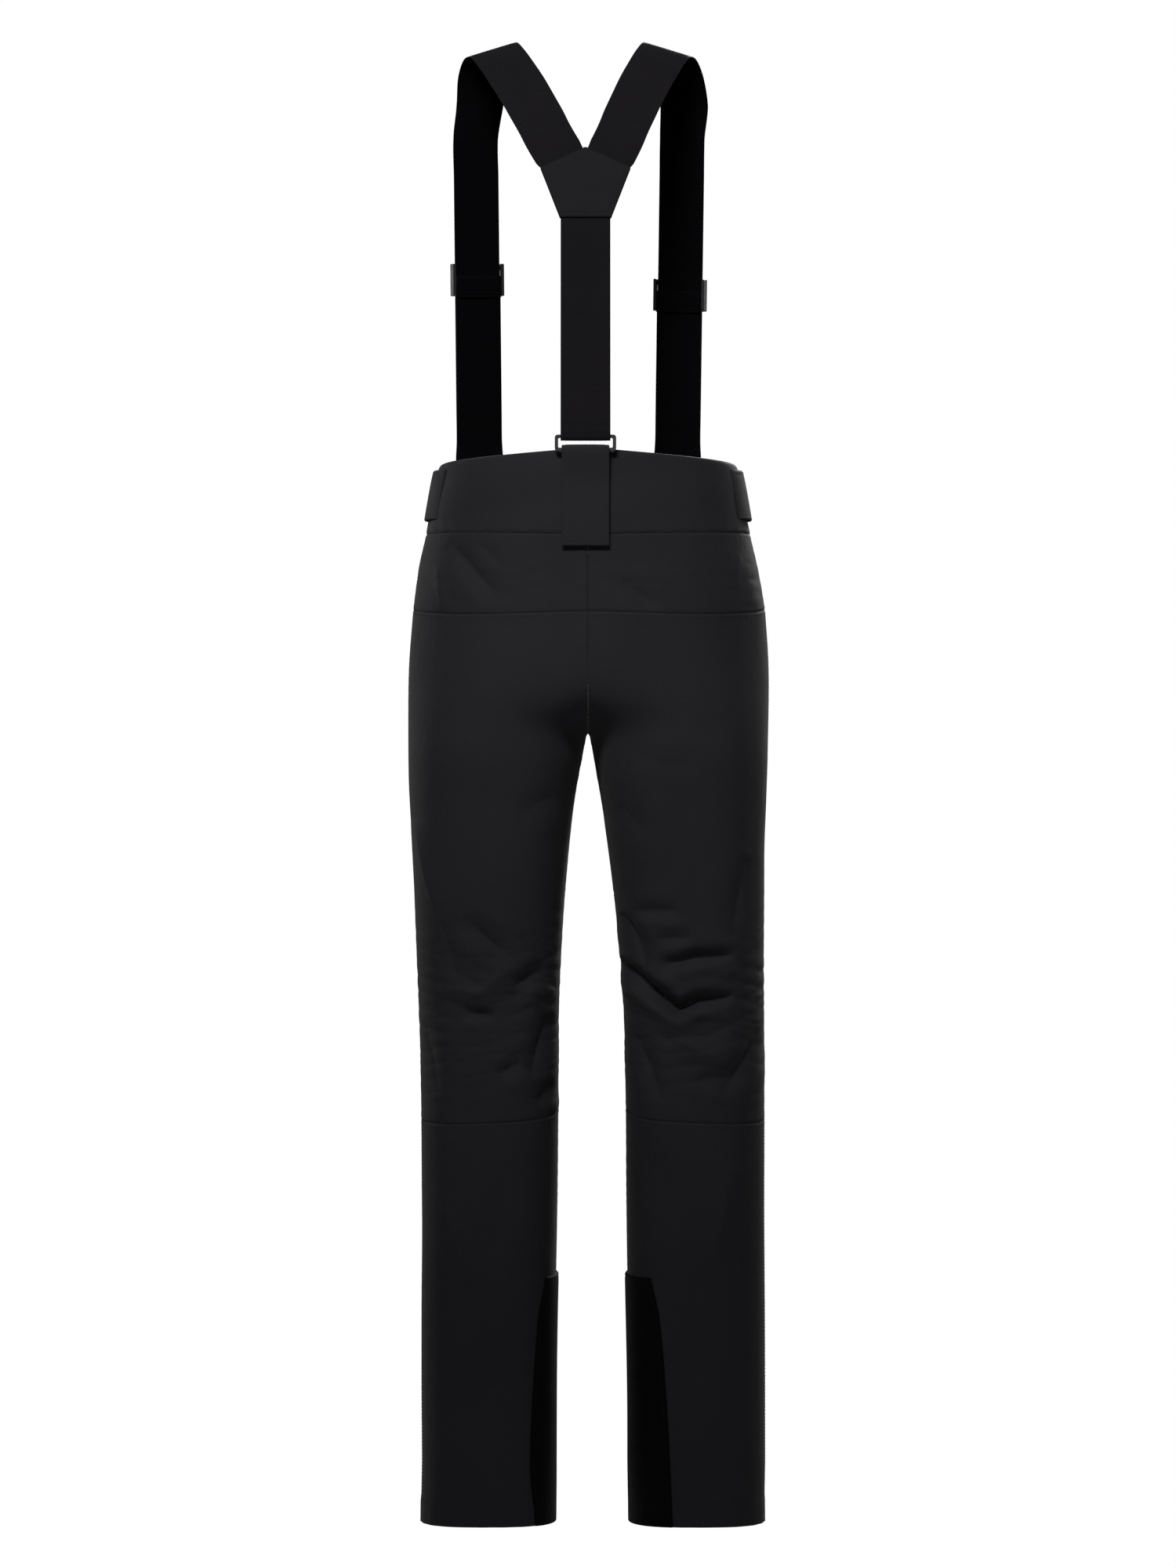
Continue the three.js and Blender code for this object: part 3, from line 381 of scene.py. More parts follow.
def closed_sheet(outer, inner):
    """Vertices and quads of the solid between two grids of points, of the same shape."""
    rows, columns = outer.shape[:2]
    count = rows * columns
    index = np.arange(count).reshape(rows, columns)
    rim = np.concatenate([index[0, :-1], index[:-1, -1], index[-1, :0:-1], index[:0:-1, 0]])
    after = np.roll(rim, -1)
    sides = np.stack([rim, after, after + count, rim + count], -1)
    faces = np.concatenate([grid_faces(rows, columns), grid_faces(rows, columns, count, True), sides])
    return np.concatenate([outer.reshape(-1, 3), inner.reshape(-1, 3)]), faces


def outward(outer, inner, faces):
    """The faces, wound so that the outer grid faces away from the inner one."""
    middle = (outer.shape[0] // 2, outer.shape[1] // 2)
    a, b, c = outer[middle], outer[middle[0] + 1, middle[1]], outer[middle[0], middle[1] + 1]
    facing = np.dot(np.cross(b - a, c - a), outer[middle] - inner[middle])
    return faces if facing > 0 else faces[:, ::-1]


def add_mesh(name, points, faces, nodes, material, body="root", uv=None):
    """A smooth piece from points and faces, standing for the CAD nodes and riding on the body."""
    mesh = bpy.data.meshes.new(name)
    mesh.from_pydata(np.asarray(points).tolist(), [], np.asarray(faces).tolist())
    if uv is not None:
        layer = mesh.uv_layers.new(name="cloth")
        loops = np.empty(len(mesh.loops), dtype=np.int32)
        mesh.loops.foreach_get("vertex_index", loops)
        layer.data.foreach_set("uv", np.asarray(uv, np.float32)[loops].reshape(-1))
    mesh.shade_smooth()
    mesh.materials.append(material)
    piece = bpy.data.objects.new(name, mesh)
    bpy.context.scene.collection.objects.link(piece)
    if nodes:
        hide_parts(*nodes)
    if body:
        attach(piece, body)
    return piece


def add_sheet(name, outer, inner, uv, nodes, material, body="root"):
    points, faces = closed_sheet(outer, inner)
    faces = outward(outer, inner, faces)
    doubled = np.concatenate([uv.reshape(-1, 2)] * 2)
    return add_mesh(name, points, faces, nodes, material, body, doubled)


def as_function(value):
    """The value if it is a function already, or else a function that always gives it."""
    return value if callable(value) else (lambda x: value + 0 * np.asarray(x, float))


def panel_grid(start, end, top, bottom, step, edges=EDGE_ROWS):
    """Shares and heights of a grid over a panel, and each point's distances to its four edges."""
    start, end, top, bottom = map(as_function, (start, end, top, bottom))
    middle_z = float(top(0.5) + bottom(0.5)) / 2
    width = float((end(middle_z) - start(middle_z)) * length_at(middle_z))
    height = float(top(0.5) - bottom(0.5))
    u, v = np.meshgrid(spaced(width, step, edges), spaced(height, step, edges))
    share = start(middle_z) + (end(middle_z) - start(middle_z)) * u
    for _ in range(4):
        z = top(share) + (bottom(share) - top(share)) * v
        share = start(z) + (end(z) - start(z)) * u
    z = top(share) + (bottom(share) - top(share)) * v
    across = (end(z) - start(z)) * length_at(z)
    tall = top(share) - bottom(share)
    return share, z, (u * across, (1 - u) * across, v * tall, (1 - v) * tall)


SEAM_TUCK = 0.0008           # how far a panel's edge is drawn in at a seam
SEAM_ROUND = 0.0012          # how far from the seam that reaches
PUCKER = 0.00028             # height of the small ripples that a seam's thread draws up
PUCKER_REACH = 0.007
PUCKER_START = 0.002         # they start this far from the seam


def seam_relief(share, z, distances, sewn):
    """Inward tuck at the sewn edges, with ripples across them."""
    relief = np.zeros_like(z)
    along_cloth = share * length_at(z)
    for i, distance in enumerate(distances):
        if i not in sewn:
            continue
        place = z if i < 2 else along_cloth
        beat = np.sin(place * 520 + 2.1 * np.sin(place * 95 + i))
        beat = beat * (0.6 + 0.4 * np.sin(place * 61 + 2 * i))
        # The two halves face each other just above the crotch, so their edges stay together there.
        open_seam = np.where(z > CROTCH_Z - 0.01, np.clip((z + 0.215) / 0.03, 0, 1), 1) if i < 2 else 1
        relief -= SEAM_TUCK * bell(distance, SEAM_ROUND) * open_seam
        relief += PUCKER * beat * np.exp(-distance / PUCKER_REACH) * (1 - bell(distance, PUCKER_START))
    return relief


ALL_EDGES = (0, 1, 2, 3)     # start, end, top, bottom
CUT_SAMPLES = 60


def declare_cut(piece, start, end, top, bottom, held, rests_on):
    """Works out the widths of a panel's cut down its height, before it was sewn and hung, and leaves them
    unused; nothing is declared.
    """
    middle = (float(top(0.5)) + float(bottom(0.5))) / 2
    across = (float(start(middle)) + float(end(middle))) / 2
    high, low = float(top(abs(across))), float(bottom(abs(across)))
    z = np.linspace(high, low, CUT_SAMPLES)
    width = (end(z) - start(z)) * length_at(z)


def add_panel(name, side, start, end, top, bottom, nodes, material, step=0.003, lift=0.0,
              thickness=CLOTH, sewn=ALL_EDGES, body="root", relief=None, held=None, rests_on=()):
    """A cloth panel on one half of the body, between two shares and two seams."""
    share, z, distances = panel_grid(start, end, top, bottom, step)
    rise = seam_relief(share, z, distances, sewn)
    if relief is not None:
        rise = rise + relief(share, z, distances)
    outer = cloth(side, share, z, lift + rise)
    inner = cloth(side, share, z, lift + rise - as_function(thickness)(share))
    uv = np.stack([share * length_at(z), z], -1)
    piece = add_sheet(name, outer, inner, uv, nodes, material, body)
    if held:
        declare_cut(piece, *[as_function(edge) for edge in (start, end, top, bottom)], held, rests_on)
    return piece


# ------------------------------------------------------------------ stitching

STITCH_LENGTH = 0.0026
STITCH_GAP = 0.0009
STITCH_RADIUS = 0.00028
STITCH_RINGS = np.array([0, 0.12, 0.5, 0.88, 1])           # places of its rings along a stitch
STITCH_SWELL = np.array([0.15, 0.8, 1, 0.8, 0.15])         # how thick it is there
SIDES_ROUND = 6              # corners of a thread's or a tooth's section


def run_along(points):
    """Distance along a polyline at each of its points."""
    return np.concatenate([[0], np.cumsum(np.linalg.norm(np.diff(points, axis=0), axis=1))])


def rows_at(places, run, rows):
    """Vectors given at the distances in run, interpolated at other distances."""
    return np.stack([np.interp(places, run, rows[:, k]) for k in range(3)], -1)


def tube_faces(rings):
    """Quads of an open tube through rings of points."""
    around = [(j, (j + 1) % SIDES_ROUND) for j in range(SIDES_ROUND)]
    starts = range(0, (rings - 1) * SIDES_ROUND, SIDES_ROUND)
    return np.array([[low + j, low + after, low + after + SIDES_ROUND, low + j + SIDES_ROUND]
                     for low in starts for j, after in around])


def stitch_run(path, normals):
    """Short lens-shaped threads in a row along a polyline lying on a surface."""
    path, normals = np.asarray(path, float), np.asarray(normals, float)
    run = run_along(path)
    starts = np.arange(STITCH_GAP, run[-1] - STITCH_LENGTH, STITCH_LENGTH + STITCH_GAP)
    places = starts[:, None] + STITCH_RINGS * STITCH_LENGTH
    centre, normal = rows_at(places, run, path), rows_at(places, run, normals)
    ahead = centre[:, -1:] - centre[:, :1]
    ahead = ahead / np.linalg.norm(ahead, axis=-1, keepdims=True)
    beside = np.cross(ahead, normal)
    angle = np.arange(SIDES_ROUND)[:, None] * math.pi / 3
    ring = np.cos(angle) * beside[:, :, None, :] + np.sin(angle) * normal[:, :, None, :]
    # The ends of each thread dip into the cloth.
    dip = (STITCH_SWELL - 1) * 0.7 * STITCH_RADIUS
    centre = centre + normal * dip[None, :, None]
    points = centre[:, :, None, :] + ring * (STITCH_RADIUS * STITCH_SWELL)[None, :, None, None]
    ring_points = len(STITCH_RINGS) * SIDES_ROUND
    faces = tube_faces(len(STITCH_RINGS))[None] + ring_points * np.arange(len(starts))[:, None, None]
    return points.reshape(-1, 3), faces.reshape(-1, 4)


def add_stitches(name, runs, body="root", material=None, nodes=()):
    """One piece holding every stitch of several (path, normals) runs."""
    points, faces, offset = [], [], 0
    for path, normals in runs:
        p, f = stitch_run(path, normals)
        points.append(p)
        faces.append(f + offset)
        offset += len(p)
    return add_mesh(name, np.concatenate(points), np.concatenate(faces), nodes,
                    material or MATERIAL["thread"], body)


def on_cloth(side, share, z, lift):
    """Path and normals of a line on the cloth."""
    path = cloth(side, share, z, lift)
    normals = cloth(side, share, z, lift + 0.001) - path
    return path, normals / np.linalg.norm(normals, axis=-1, keepdims=True)


# ------------------------------------------------------------------ materials

class Shader:
    """A material's node tree with its Principled shader, and short ways to add nodes to it."""

    def __init__(self, name):
        self.material = bpy.data.materials.new(name)
        self.material.use_nodes = True
        self.nodes = self.material.node_tree.nodes
        self.links = self.material.node_tree.links
        self.shader = self.nodes["Principled BSDF"]

    def add(self, kind, settings=None, **inputs):
        made = self.nodes.new(kind)
        for key, value in (settings or {}).items():
            setattr(made, key, value)
        for key, value in inputs.items():
            self.put(made.inputs[key.replace("_", " ")], value)
        return made

    def put(self, socket, value):
        if isinstance(value, bpy.types.NodeSocket):
            self.links.new(value, socket)
        else:
            socket.default_value = value

    def set(self, **inputs):
        for key, value in inputs.items():
            self.put(self.shader.inputs[key.replace("_", " ")], value)

    def maths(self, operation, a, b=0.0):
        made = self.nodes.new("ShaderNodeMath")
        made.operation = operation
        self.put(made.inputs[0], a)
        self.put(made.inputs[1], b)
        return made.outputs[0]

    def ranged(self, value, low, high):
        made = self.add("ShaderNodeMapRange", Value=value, To_Min=low, To_Max=high)
        return made.outputs[0]

    def tinted(self, factor, dark, light):
        made = self.add("ShaderNodeMix", {"data_type": "RGBA"})
        self.put(made.inputs[0], factor)
        self.put(made.inputs[6], (*dark, 1))
        self.put(made.inputs[7], (*light, 1))
        return made.outputs[2]

    def bump(self, height, distance, strength=1.0, under=None):
        made = self.add("ShaderNodeBump", Height=height, Distance=distance, Strength=strength)
        if under is not None:
            self.links.new(under, made.inputs["Normal"])
        return made.outputs["Normal"]


WAVE_UNIT = 2 * math.pi / 20     # a Wave texture of scale 1 repeats this often


def noise(shader, place, scale, detail=2.0, roughness=0.5):
    return shader.add("ShaderNodeTexNoise", Vector=place, Scale=scale, Detail=detail,
                      Roughness=roughness).outputs["Fac"]


def bands(shader, place, pitch, direction="X", distortion=0.0):
    settings = {"wave_type": "BANDS", "bands_direction": direction}
    return shader.add("ShaderNodeTexWave", settings, Vector=place, Scale=WAVE_UNIT / pitch,
                      Distortion=distortion, Detail=1.0, Detail_Scale=2.0).outputs["Fac"]


def scaled_colour(colour, factor):
    return tuple(channel * factor for channel in colour)


def fabric(name, colour, roughness=0.75, sheen=0.02, specular=0.04, pitch=0.00085, relief=0.00010,
           crumple=0.0005, variation=0.16, diagonal=True):
    """Woven cloth: a twill or plain weave, flecked yarn, uneven dye and small crumples."""
    s = Shader(name)
    coordinates = s.add("ShaderNodeTexCoord")
    flat, place = coordinates.outputs["UV"], coordinates.outputs["Object"]
    yarn = bands(s, flat, pitch, "DIAGONAL" if diagonal else "X", 0.6)
    weft = bands(s, flat, pitch * 1.15, "Y", 0.4)
    weave = s.maths("MULTIPLY", yarn, s.ranged(weft, 0.55, 1))
    fleck = noise(s, place, 1400, 2)
    dye = noise(s, place, 7, 3)
    wear = noise(s, place, 26, 4, 0.6)
    tone = s.maths("ADD", s.maths("MULTIPLY", fleck, 0.35), s.maths("MULTIPLY", dye, 0.4))
    tone = s.maths("ADD", tone, s.maths("MULTIPLY", weave, 0.25))
    spread = 2.6 * variation
    shade = s.tinted(tone, scaled_colour(colour, 1 - spread), scaled_colour(colour, 1 + spread))
    creases = noise(s, place, 75, 3, 0.55)
    normal = s.bump(creases, crumple)
    normal = s.bump(s.maths("ADD", weave, s.maths("MULTIPLY", fleck, 0.5)), relief, 1.0, normal)
    s.set(Base_Color=shade, Roughness=s.ranged(wear, roughness - 0.08, roughness + 0.08),
          Specular_IOR_Level=specular, Sheen_Weight=sheen, Sheen_Roughness=0.45, Normal=normal)
    return s.material


def webbing(name, colour, pitch=0.0012, roughness=0.8, specular=0.04, sheen=0.04):
    """Elastic webbing: fine cross ribs over lengthwise cords."""
    s = Shader(name)
    coordinates = s.add("ShaderNodeTexCoord")
    flat, place = coordinates.outputs["UV"], coordinates.outputs["Object"]
    rib = bands(s, flat, pitch, "Y", 0.3)
    wale = bands(s, flat, 0.0021, "X", 0.2)
    fleck = noise(s, place, 1800, 2)
    dye = noise(s, place, 12, 2)
    tone = s.maths("ADD", s.maths("MULTIPLY", rib, 0.3), s.maths("MULTIPLY", fleck, 0.35))
    tone = s.maths("ADD", tone, s.maths("MULTIPLY", dye, 0.3))
    height = s.maths("ADD", s.maths("MULTIPLY", rib, 0.7), s.maths("MULTIPLY", wale, 0.5))
    s.set(Base_Color=s.tinted(tone, scaled_colour(colour, 0.5), scaled_colour(colour, 1.5)),
          Roughness=roughness, Specular_IOR_Level=specular, Sheen_Weight=sheen, Sheen_Roughness=0.5,
          Normal=s.bump(height, 0.00022))
    return s.material


def looped(name, colour, scale):
    """Hook or loop tape: a dense nap of fine points."""
    s = Shader(name)
    place = s.add("ShaderNodeTexCoord").outputs["Object"]
    cells = s.add("ShaderNodeTexVoronoi", Vector=place, Scale=scale).outputs["Distance"]
    tone = s.maths("ADD", s.maths("MULTIPLY", cells, 0.6), s.maths("MULTIPLY", noise(s, place, 60, 3), 0.4))
    s.set(Base_Color=s.tinted(tone, scaled_colour(colour, 1.5), scaled_colour(colour, 0.5)),
          Roughness=0.85, Specular_IOR_Level=0.15, Sheen_Weight=0.3, Normal=s.bump(cells, 0.0006))
    return s.material


def hard(name, colour, roughness, metallic=0.0, grain=900, relief=0.00003, specular=0.5):
    """Moulded plastic or painted metal with a fine grain and scuffed gloss."""
    s = Shader(name)
    place = s.add("ShaderNodeTexCoord").outputs["Object"]
    scuff = noise(s, place, 160, 5, 0.65)
    tone = noise(s, place, 45, 3)
    s.set(Base_Color=s.tinted(tone, scaled_colour(colour, 0.8), scaled_colour(colour, 1.2)),
          Roughness=s.ranged(scuff, roughness - 0.1, roughness + 0.14), Metallic=metallic,
          Specular_IOR_Level=specular, Normal=s.bump(noise(s, place, grain, 2), relief))
    return s.material


THREAD = {"pitch": 0.0004, "relief": 0.00004, "crumple": 0.0}

MATERIAL = {
    "shell": fabric("shell_cloth", (0.0092, 0.0089, 0.0104), variation=0.19),
    "waist": fabric("waistband_cloth", (0.0094, 0.0090, 0.0108), crumple=0.0003),
    "guard": fabric("scuff_cloth", (0.0010, 0.0010, 0.0011), roughness=0.75, sheen=0.01, pitch=0.0013,
                    relief=0.00016, crumple=0.0002, diagonal=False, specular=0.02),
    "lining": fabric("lining_cloth", (0.020, 0.020, 0.023), roughness=0.55, pitch=0.0006,
                     diagonal=False),
    "patch": fabric("patch_cloth", (0.0056, 0.0053, 0.0060), pitch=0.0010, crumple=0.0002),
    "webbing": webbing("brace_webbing", (0.0032, 0.0027, 0.0035)),
    "front_webbing": webbing("front_brace_webbing", (0.0007, 0.0007, 0.0011), sheen=0.005,
                             specular=0.02),
    "elastic": webbing("gaiter_elastic_knit", (0.012, 0.012, 0.013), pitch=0.0022),
    "hook": looped("hook_tape_nap", (0.010, 0.010, 0.011), 900),
    "loop": looped("loop_tape_nap", (0.012, 0.012, 0.013), 650),
    "tape": fabric("zip_tape_cloth", (0.0075, 0.0075, 0.0085), pitch=0.0007, crumple=0.0001,
                   diagonal=False),
    "guard_thread": fabric("guard_thread", (0.0035, 0.0035, 0.0038), **THREAD),
    "thread": fabric("sewing_thread", (0.0115, 0.0110, 0.0128), **THREAD),
    "teeth": hard("zip_coil_plastic", (0.010, 0.010, 0.011), 0.4),
    "plastic": hard("moulded_nylon", (0.010, 0.010, 0.011), 0.46, specular=0.25),
    "slider": hard("slider_nylon", (0.0075, 0.0075, 0.008), 0.5, specular=0.22),
    "zip_metal": hard("zip_metal_lacquer", (0.10, 0.10, 0.105), 0.38, 0.9, 500),
    "snap_metal": hard("snap_metal_oxide", (0.09, 0.09, 0.095), 0.32, 0.9, 500),
}

# ------------------------------------------------------------------ shell


def gap_share(z):
    return share_of(SEAM_GAP / 2, z)


def side_back(z):
    return 0.5 - gap_share(z)


def side_front(z):
    return 0.5 + gap_share(z)


def front_edge(z):
    return 1 - gap_share(z)


FLY_SLOT = 0.007             # half the width of the slot that the fly zip fills


def fly_edge(z):
    parted = np.clip((z - FLY_BOTTOM_Z + 0.012) / 0.010, 0, 1)
    return 1 - share_of(SEAM_GAP / 2 + parted * FLY_SLOT, z)


def below(seam):
    return lambda share: as_function(seam)(share) - SEAM_GAP / 2


def above(seam):
    return lambda share: as_function(seam)(share) + SEAM_GAP / 2


HEM_TURN = 0.024             # height of the hem's turning
HEM_ROUND = 0.0012
HEM_FOLD = 0.0006            # how far the turning stands out
HEM_GROOVE = 0.0004
HEM_WAVE = 0.0003


def hem_relief(share, z, distances):
    """A turned-up hem: a fold's thickness up to its stitch line, which draws in."""
    from_hem = distances[3]
    turned = 1 / (1 + np.exp((from_hem - HEM_TURN) / HEM_ROUND))
    stitch = bell(from_hem - HEM_TURN, HEM_ROUND)
    wobble = np.sin(share * length_at(z) * 260 + 1.3 * np.sin(share * 31)) * np.exp(-from_hem / 0.02)
    return HEM_FOLD * turned - HEM_GROOVE * stitch + HEM_WAVE * wobble


def bordered(nearest, inset, rim=(0.0006, 0.0009), groove=(0.0004, 0.0009)):
    """Relief of a rounded rim and of a groove under stitches inset from it, each a depth and a width."""
    return -rim[0] * bell(nearest, rim[1]) - groove[0] * bell(nearest - inset, groove[1])


BACK_STEP = 0.0023           # grid steps: finer at the back
FRONT_STEP = 0.0040


def add_shell(name, side):
    back, front = (gap_share, side_back), (side_front, front_edge)
    fly_span = (side_front, fly_edge)
    # name, span, top, bottom, the CAD node that it hangs from
    cuts = [
        ("back_yoke", back, below(WAIST_SEAM), above(YOKE_SEAM), "waistband_back"),
        ("leg_back", back, below(YOKE_SEAM), above(CALF_SEAM), f"{name}_back_yoke"),
        ("shin_back", back, below(CALF_SEAM), HEM_Z, f"{name}_leg_back"),
        ("leg_front", fly_span, below(WAIST_SEAM), above(KNEE_TOP_Z), f"waistband_front_{name}"),
        ("knee_panel", front, below(KNEE_TOP_Z), above(KNEE_FRONT_Z), f"{name}_leg_front"),
        ("shin_front", front, below(KNEE_FRONT_Z), HEM_Z, f"{name}_knee_panel"),
    ]
    for part, (start, end), top, bottom, hangs_from in cuts:
        hemmed = part.startswith("shin")
        add_panel(f"{name}_{part}_cloth", side, start, end, top, bottom, [f"{name}_{part}"],
                  MATERIAL["shell"], step=BACK_STEP if "back" in part else FRONT_STEP,
                  sewn=(0, 1, 2) if hemmed else ALL_EDGES, relief=hem_relief if hemmed else None,
                  held="hung", rests_on=[hangs_from])


GUARD_BACK = {
    "left": outline([(GUARD_TOP_Z, 0.112), (-0.860, 0.137), (-1.000, 0.153), (HEM_Z, 0.141)]),
    "right": outline([(GUARD_TOP_Z, 0.15), (-0.855, 0.170), (-0.959, 0.187), (HEM_Z, 0.196)]),
}
GUARD_FRONT = {"left": 0.14, "right": 0.10}
GUARD_LIFT = 0.00265
GUARD_CLOTH = 0.0014


def add_scuff_guard(name, side):
    def edge_relief(_share, _z, distances):
        nearest = np.minimum.reduce(distances[:3])
        return bordered(nearest, 0.0035, (0.0013, 0.0012), (0.0005, 0.0009))

    add_panel(f"{name}_scuff_guard_cloth", side, -GUARD_FRONT[name], GUARD_BACK[name], GUARD_TOP_Z,
              HEM_Z, [f"{name}_scuff_guard"], MATERIAL["guard"], lift=GUARD_LIFT,
              thickness=GUARD_CLOTH, sewn=(), relief=edge_relief, step=BACK_STEP,
              held="laid", rests_on=[f"{name}_shin_back", f"{name}_shin_front"])


for side_name, side_sign in SIDES:
    add_shell(side_name, side_sign)
    add_scuff_guard(side_name, side_sign)

# ------------------------------------------------------------------ linings and gaiters


LINING_GAP = 0.0042          # between the shell's face and the lining's
CROTCH_GAP = 0.009           # and how much more there is at the crotch
CROTCH_REACH = 0.120


def clear_of_crotch(z):
    """The lining hangs free of the shell where the crotch curves most."""
    return -(LINING_GAP + CROTCH_GAP * np.clip(1 - np.abs(z - CROTCH_Z) / CROTCH_REACH, 0, 1))


def creases(share, z):
    """Soft creases in a hanging lining."""
    return 0.0006 * np.sin(share * 90 + 3 * np.sin(z * 14)) * np.sin(z * 37 + 2)


GATHERS = 34                 # folds round half of the gaiter


def gathers(share, _z, distances):
    """Folds drawn together towards the elastic at the foot."""
    drawn = np.clip(1 - distances[3] / 0.12, 0, 1)
    return 0.0021 * drawn * np.sin(share * 2 * math.pi * GATHERS) * (0.7 + 0.3 * np.sin(share * 47))


def elastic_ribs(share, _z, _distances):
    return 0.0005 * np.sin(share * 2 * math.pi * GATHERS)


LINING_TOP_Z = -0.090
LINING_OVERLAP = 0.006       # how far the lining's foot stays above the gaiter's top
GAITER_LIFT = -0.006
ELASTIC = {"height": 0.022, "lift": -0.0096, "thickness": 0.0014}


def add_inner_half(name, side):
    def start(z):
        return share_of(0.001, z)

    def end(z):
        return 1 - share_of(0.001, z)

    def lining_relief(share, z, _distances):
        return clear_of_crotch(z) + creases(share, z)

    add_panel(f"{name}_leg_lining_cloth", side, start, end, LINING_TOP_Z, GAITER_TOP_Z + LINING_OVERLAP,
              [f"{name}_leg_lining"], MATERIAL["lining"], step=0.006,
              thickness=LINING_CLOTH, sewn=(), relief=lining_relief, held="hung",
              rests_on=["waistband_lining"])
    add_panel(f"{name}_snow_gaiter_cloth", side, start, end, GAITER_TOP_Z, GAITER_BOTTOM_Z,
              [f"{name}_snow_gaiter"], MATERIAL["lining"], step=0.003, lift=GAITER_LIFT,
              thickness=LINING_CLOTH, sewn=(), relief=gathers, held="gathered",
              rests_on=[f"{name}_leg_lining"])
    add_panel(f"{name}_gaiter_elastic_knit", side, start, end, GAITER_BOTTOM_Z + ELASTIC["height"],
              GAITER_BOTTOM_Z, [f"{name}_gaiter_elastic"], MATERIAL["elastic"],
              step=0.0022, lift=ELASTIC["lift"], thickness=ELASTIC["thickness"], sewn=(),
              relief=elastic_ribs)


for side_name, side_sign in SIDES:
    add_inner_half(side_name, side_sign)

# ------------------------------------------------------------------ waistband


def centre_grid(reach, top, bottom, step, edges=EDGE_ROWS):
    """Grid over both halves round the centre back: signed shares, heights and edge distances."""
    top, bottom = as_function(top), as_function(bottom)
    z = float(top(0) + bottom(0)) / 2
    half = reach * float(length_at(z))
    u, v = np.meshgrid(spaced(2 * half, step, edges), spaced(float(top(0) - bottom(0)), step, edges))
    share = (2 * u - 1) * reach
    z = top(np.abs(share)) + (bottom(np.abs(share)) - top(np.abs(share))) * v
    run = (1 - np.abs(2 * u - 1)) * half
    tall = top(np.abs(share)) - bottom(np.abs(share))
    return share, z, (run, run, v * tall, (1 - v) * tall)


def centre_cloth(share, z, lift):
    left = cloth(1, np.abs(share), z, lift)
    right = cloth(-1, np.abs(share), z, lift)
    return np.where((share > 0)[..., None], left, right)


def add_centre_panel(name, reach, top, bottom, nodes, material, lift=0.0, thickness=WAIST_CLOTH,
                     step=0.003, relief=None):
    """A sheet over both halves, centred on the back."""
    share, z, distances = centre_grid(reach, top, bottom, step)
    rise = relief(share, z, distances) if relief else 0
    outer = centre_cloth(share, z, lift + rise)
    inner = centre_cloth(share, z, lift + rise - thickness)
    uv = np.stack([share * length_at(z), z], -1)
    piece = add_sheet(name, outer, inner, uv, nodes, material)
    height = float(as_function(top)(0) - as_function(bottom)(0))
    return piece


BAND_ROUND = 0.0045          # radius of the waistband's folded top edge
BAND_ROLL = 0.0022           # how far that edge turns in
BAND_RIPPLE = 0.00035
BAND_SWELL = 0.0008


def waistband_relief(share, z, distances):
    """A folded top edge, a tucked lower seam with its ripples, and a slight swell between."""
    top, bottom = distances[2], distances[3]
    rolled = BAND_ROLL * (1 - np.sqrt(np.clip(1 - (1 - np.clip(top / BAND_ROUND, 0, 1)) ** 2, 0, 1)))
    tucked = SEAM_TUCK * bell(bottom, SEAM_ROUND)
    sides = SEAM_TUCK * (bell(distances[0], SEAM_ROUND) + bell(distances[1], SEAM_ROUND))
    place = share * length_at(z)
    ripple = BAND_RIPPLE * np.sin(place * 310 + 2 * np.sin(place * 47)) * np.exp(-bottom / 0.010)
    swell = BAND_SWELL * np.sin(place * 27 + 3 * z * 20) * np.sin(np.clip(top / 0.07, 0, 1) * math.pi)
    return ripple + swell - rolled - tucked - sides


def add_waistband():
    foot = above(WAIST_SEAM)
    add_centre_panel("waistband_back_cloth", float(side_back(-0.030)), WAIST_TOP, foot,
                     ["waistband_back"], MATERIAL["waist"], relief=waistband_relief)
    for name, side in SIDES:
        add_panel(f"waistband_front_{name}_cloth", side, side_front, front_edge, WAIST_TOP, foot,
                  [f"waistband_front_{name}"], MATERIAL["waist"],
                  thickness=WAIST_CLOTH, sewn=(), relief=waistband_relief, held="hung",
                  rests_on=["waistband_back"])
    add_centre_panel("waistband_lining_cloth", 0.995, lambda share: WAIST_TOP(share) - 0.003,
                     lambda share: WAIST_SEAM(share) + 0.002, ["waistband_lining"],
                     MATERIAL["lining"], lift=-0.0031, thickness=0.0016)


TAB = {"start": 0.393, "end": 0.63, "top": -0.004, "bottom": -0.054, "lift": 0.0049, "thickness": 0.0019}
TAB_INSET = 0.0045           # from the tab's edge to its stitches
NAP = {"start": 0.55, "end": 0.618, "inset": 0.006, "thickness": 0.0011}


def tab_ramp(share, sewn, free):
    """A measure that grows from the tab's sewn rear edge to its free end."""
    risen = np.clip((share - TAB["start"]) / (TAB["end"] - TAB["start"]) * 3, 0, 1)
    return sewn + (free - sewn) * risen ** 0.7


def tab_lift(share):
    return tab_ramp(share, 0.0008, TAB["lift"])


def tab_thickness(share):
    return tab_ramp(share, 0.0004, TAB["thickness"])


def tab_relief(share, _z, distances):
    from_sewn = np.clip(distances[0] / 0.01, 0, 1)
    nearest = np.minimum.reduce(distances)
    return tab_lift(share) + bordered(nearest, TAB_INSET, (0.0007, 0.0009), (0.00035, 0.0010)) * from_sewn


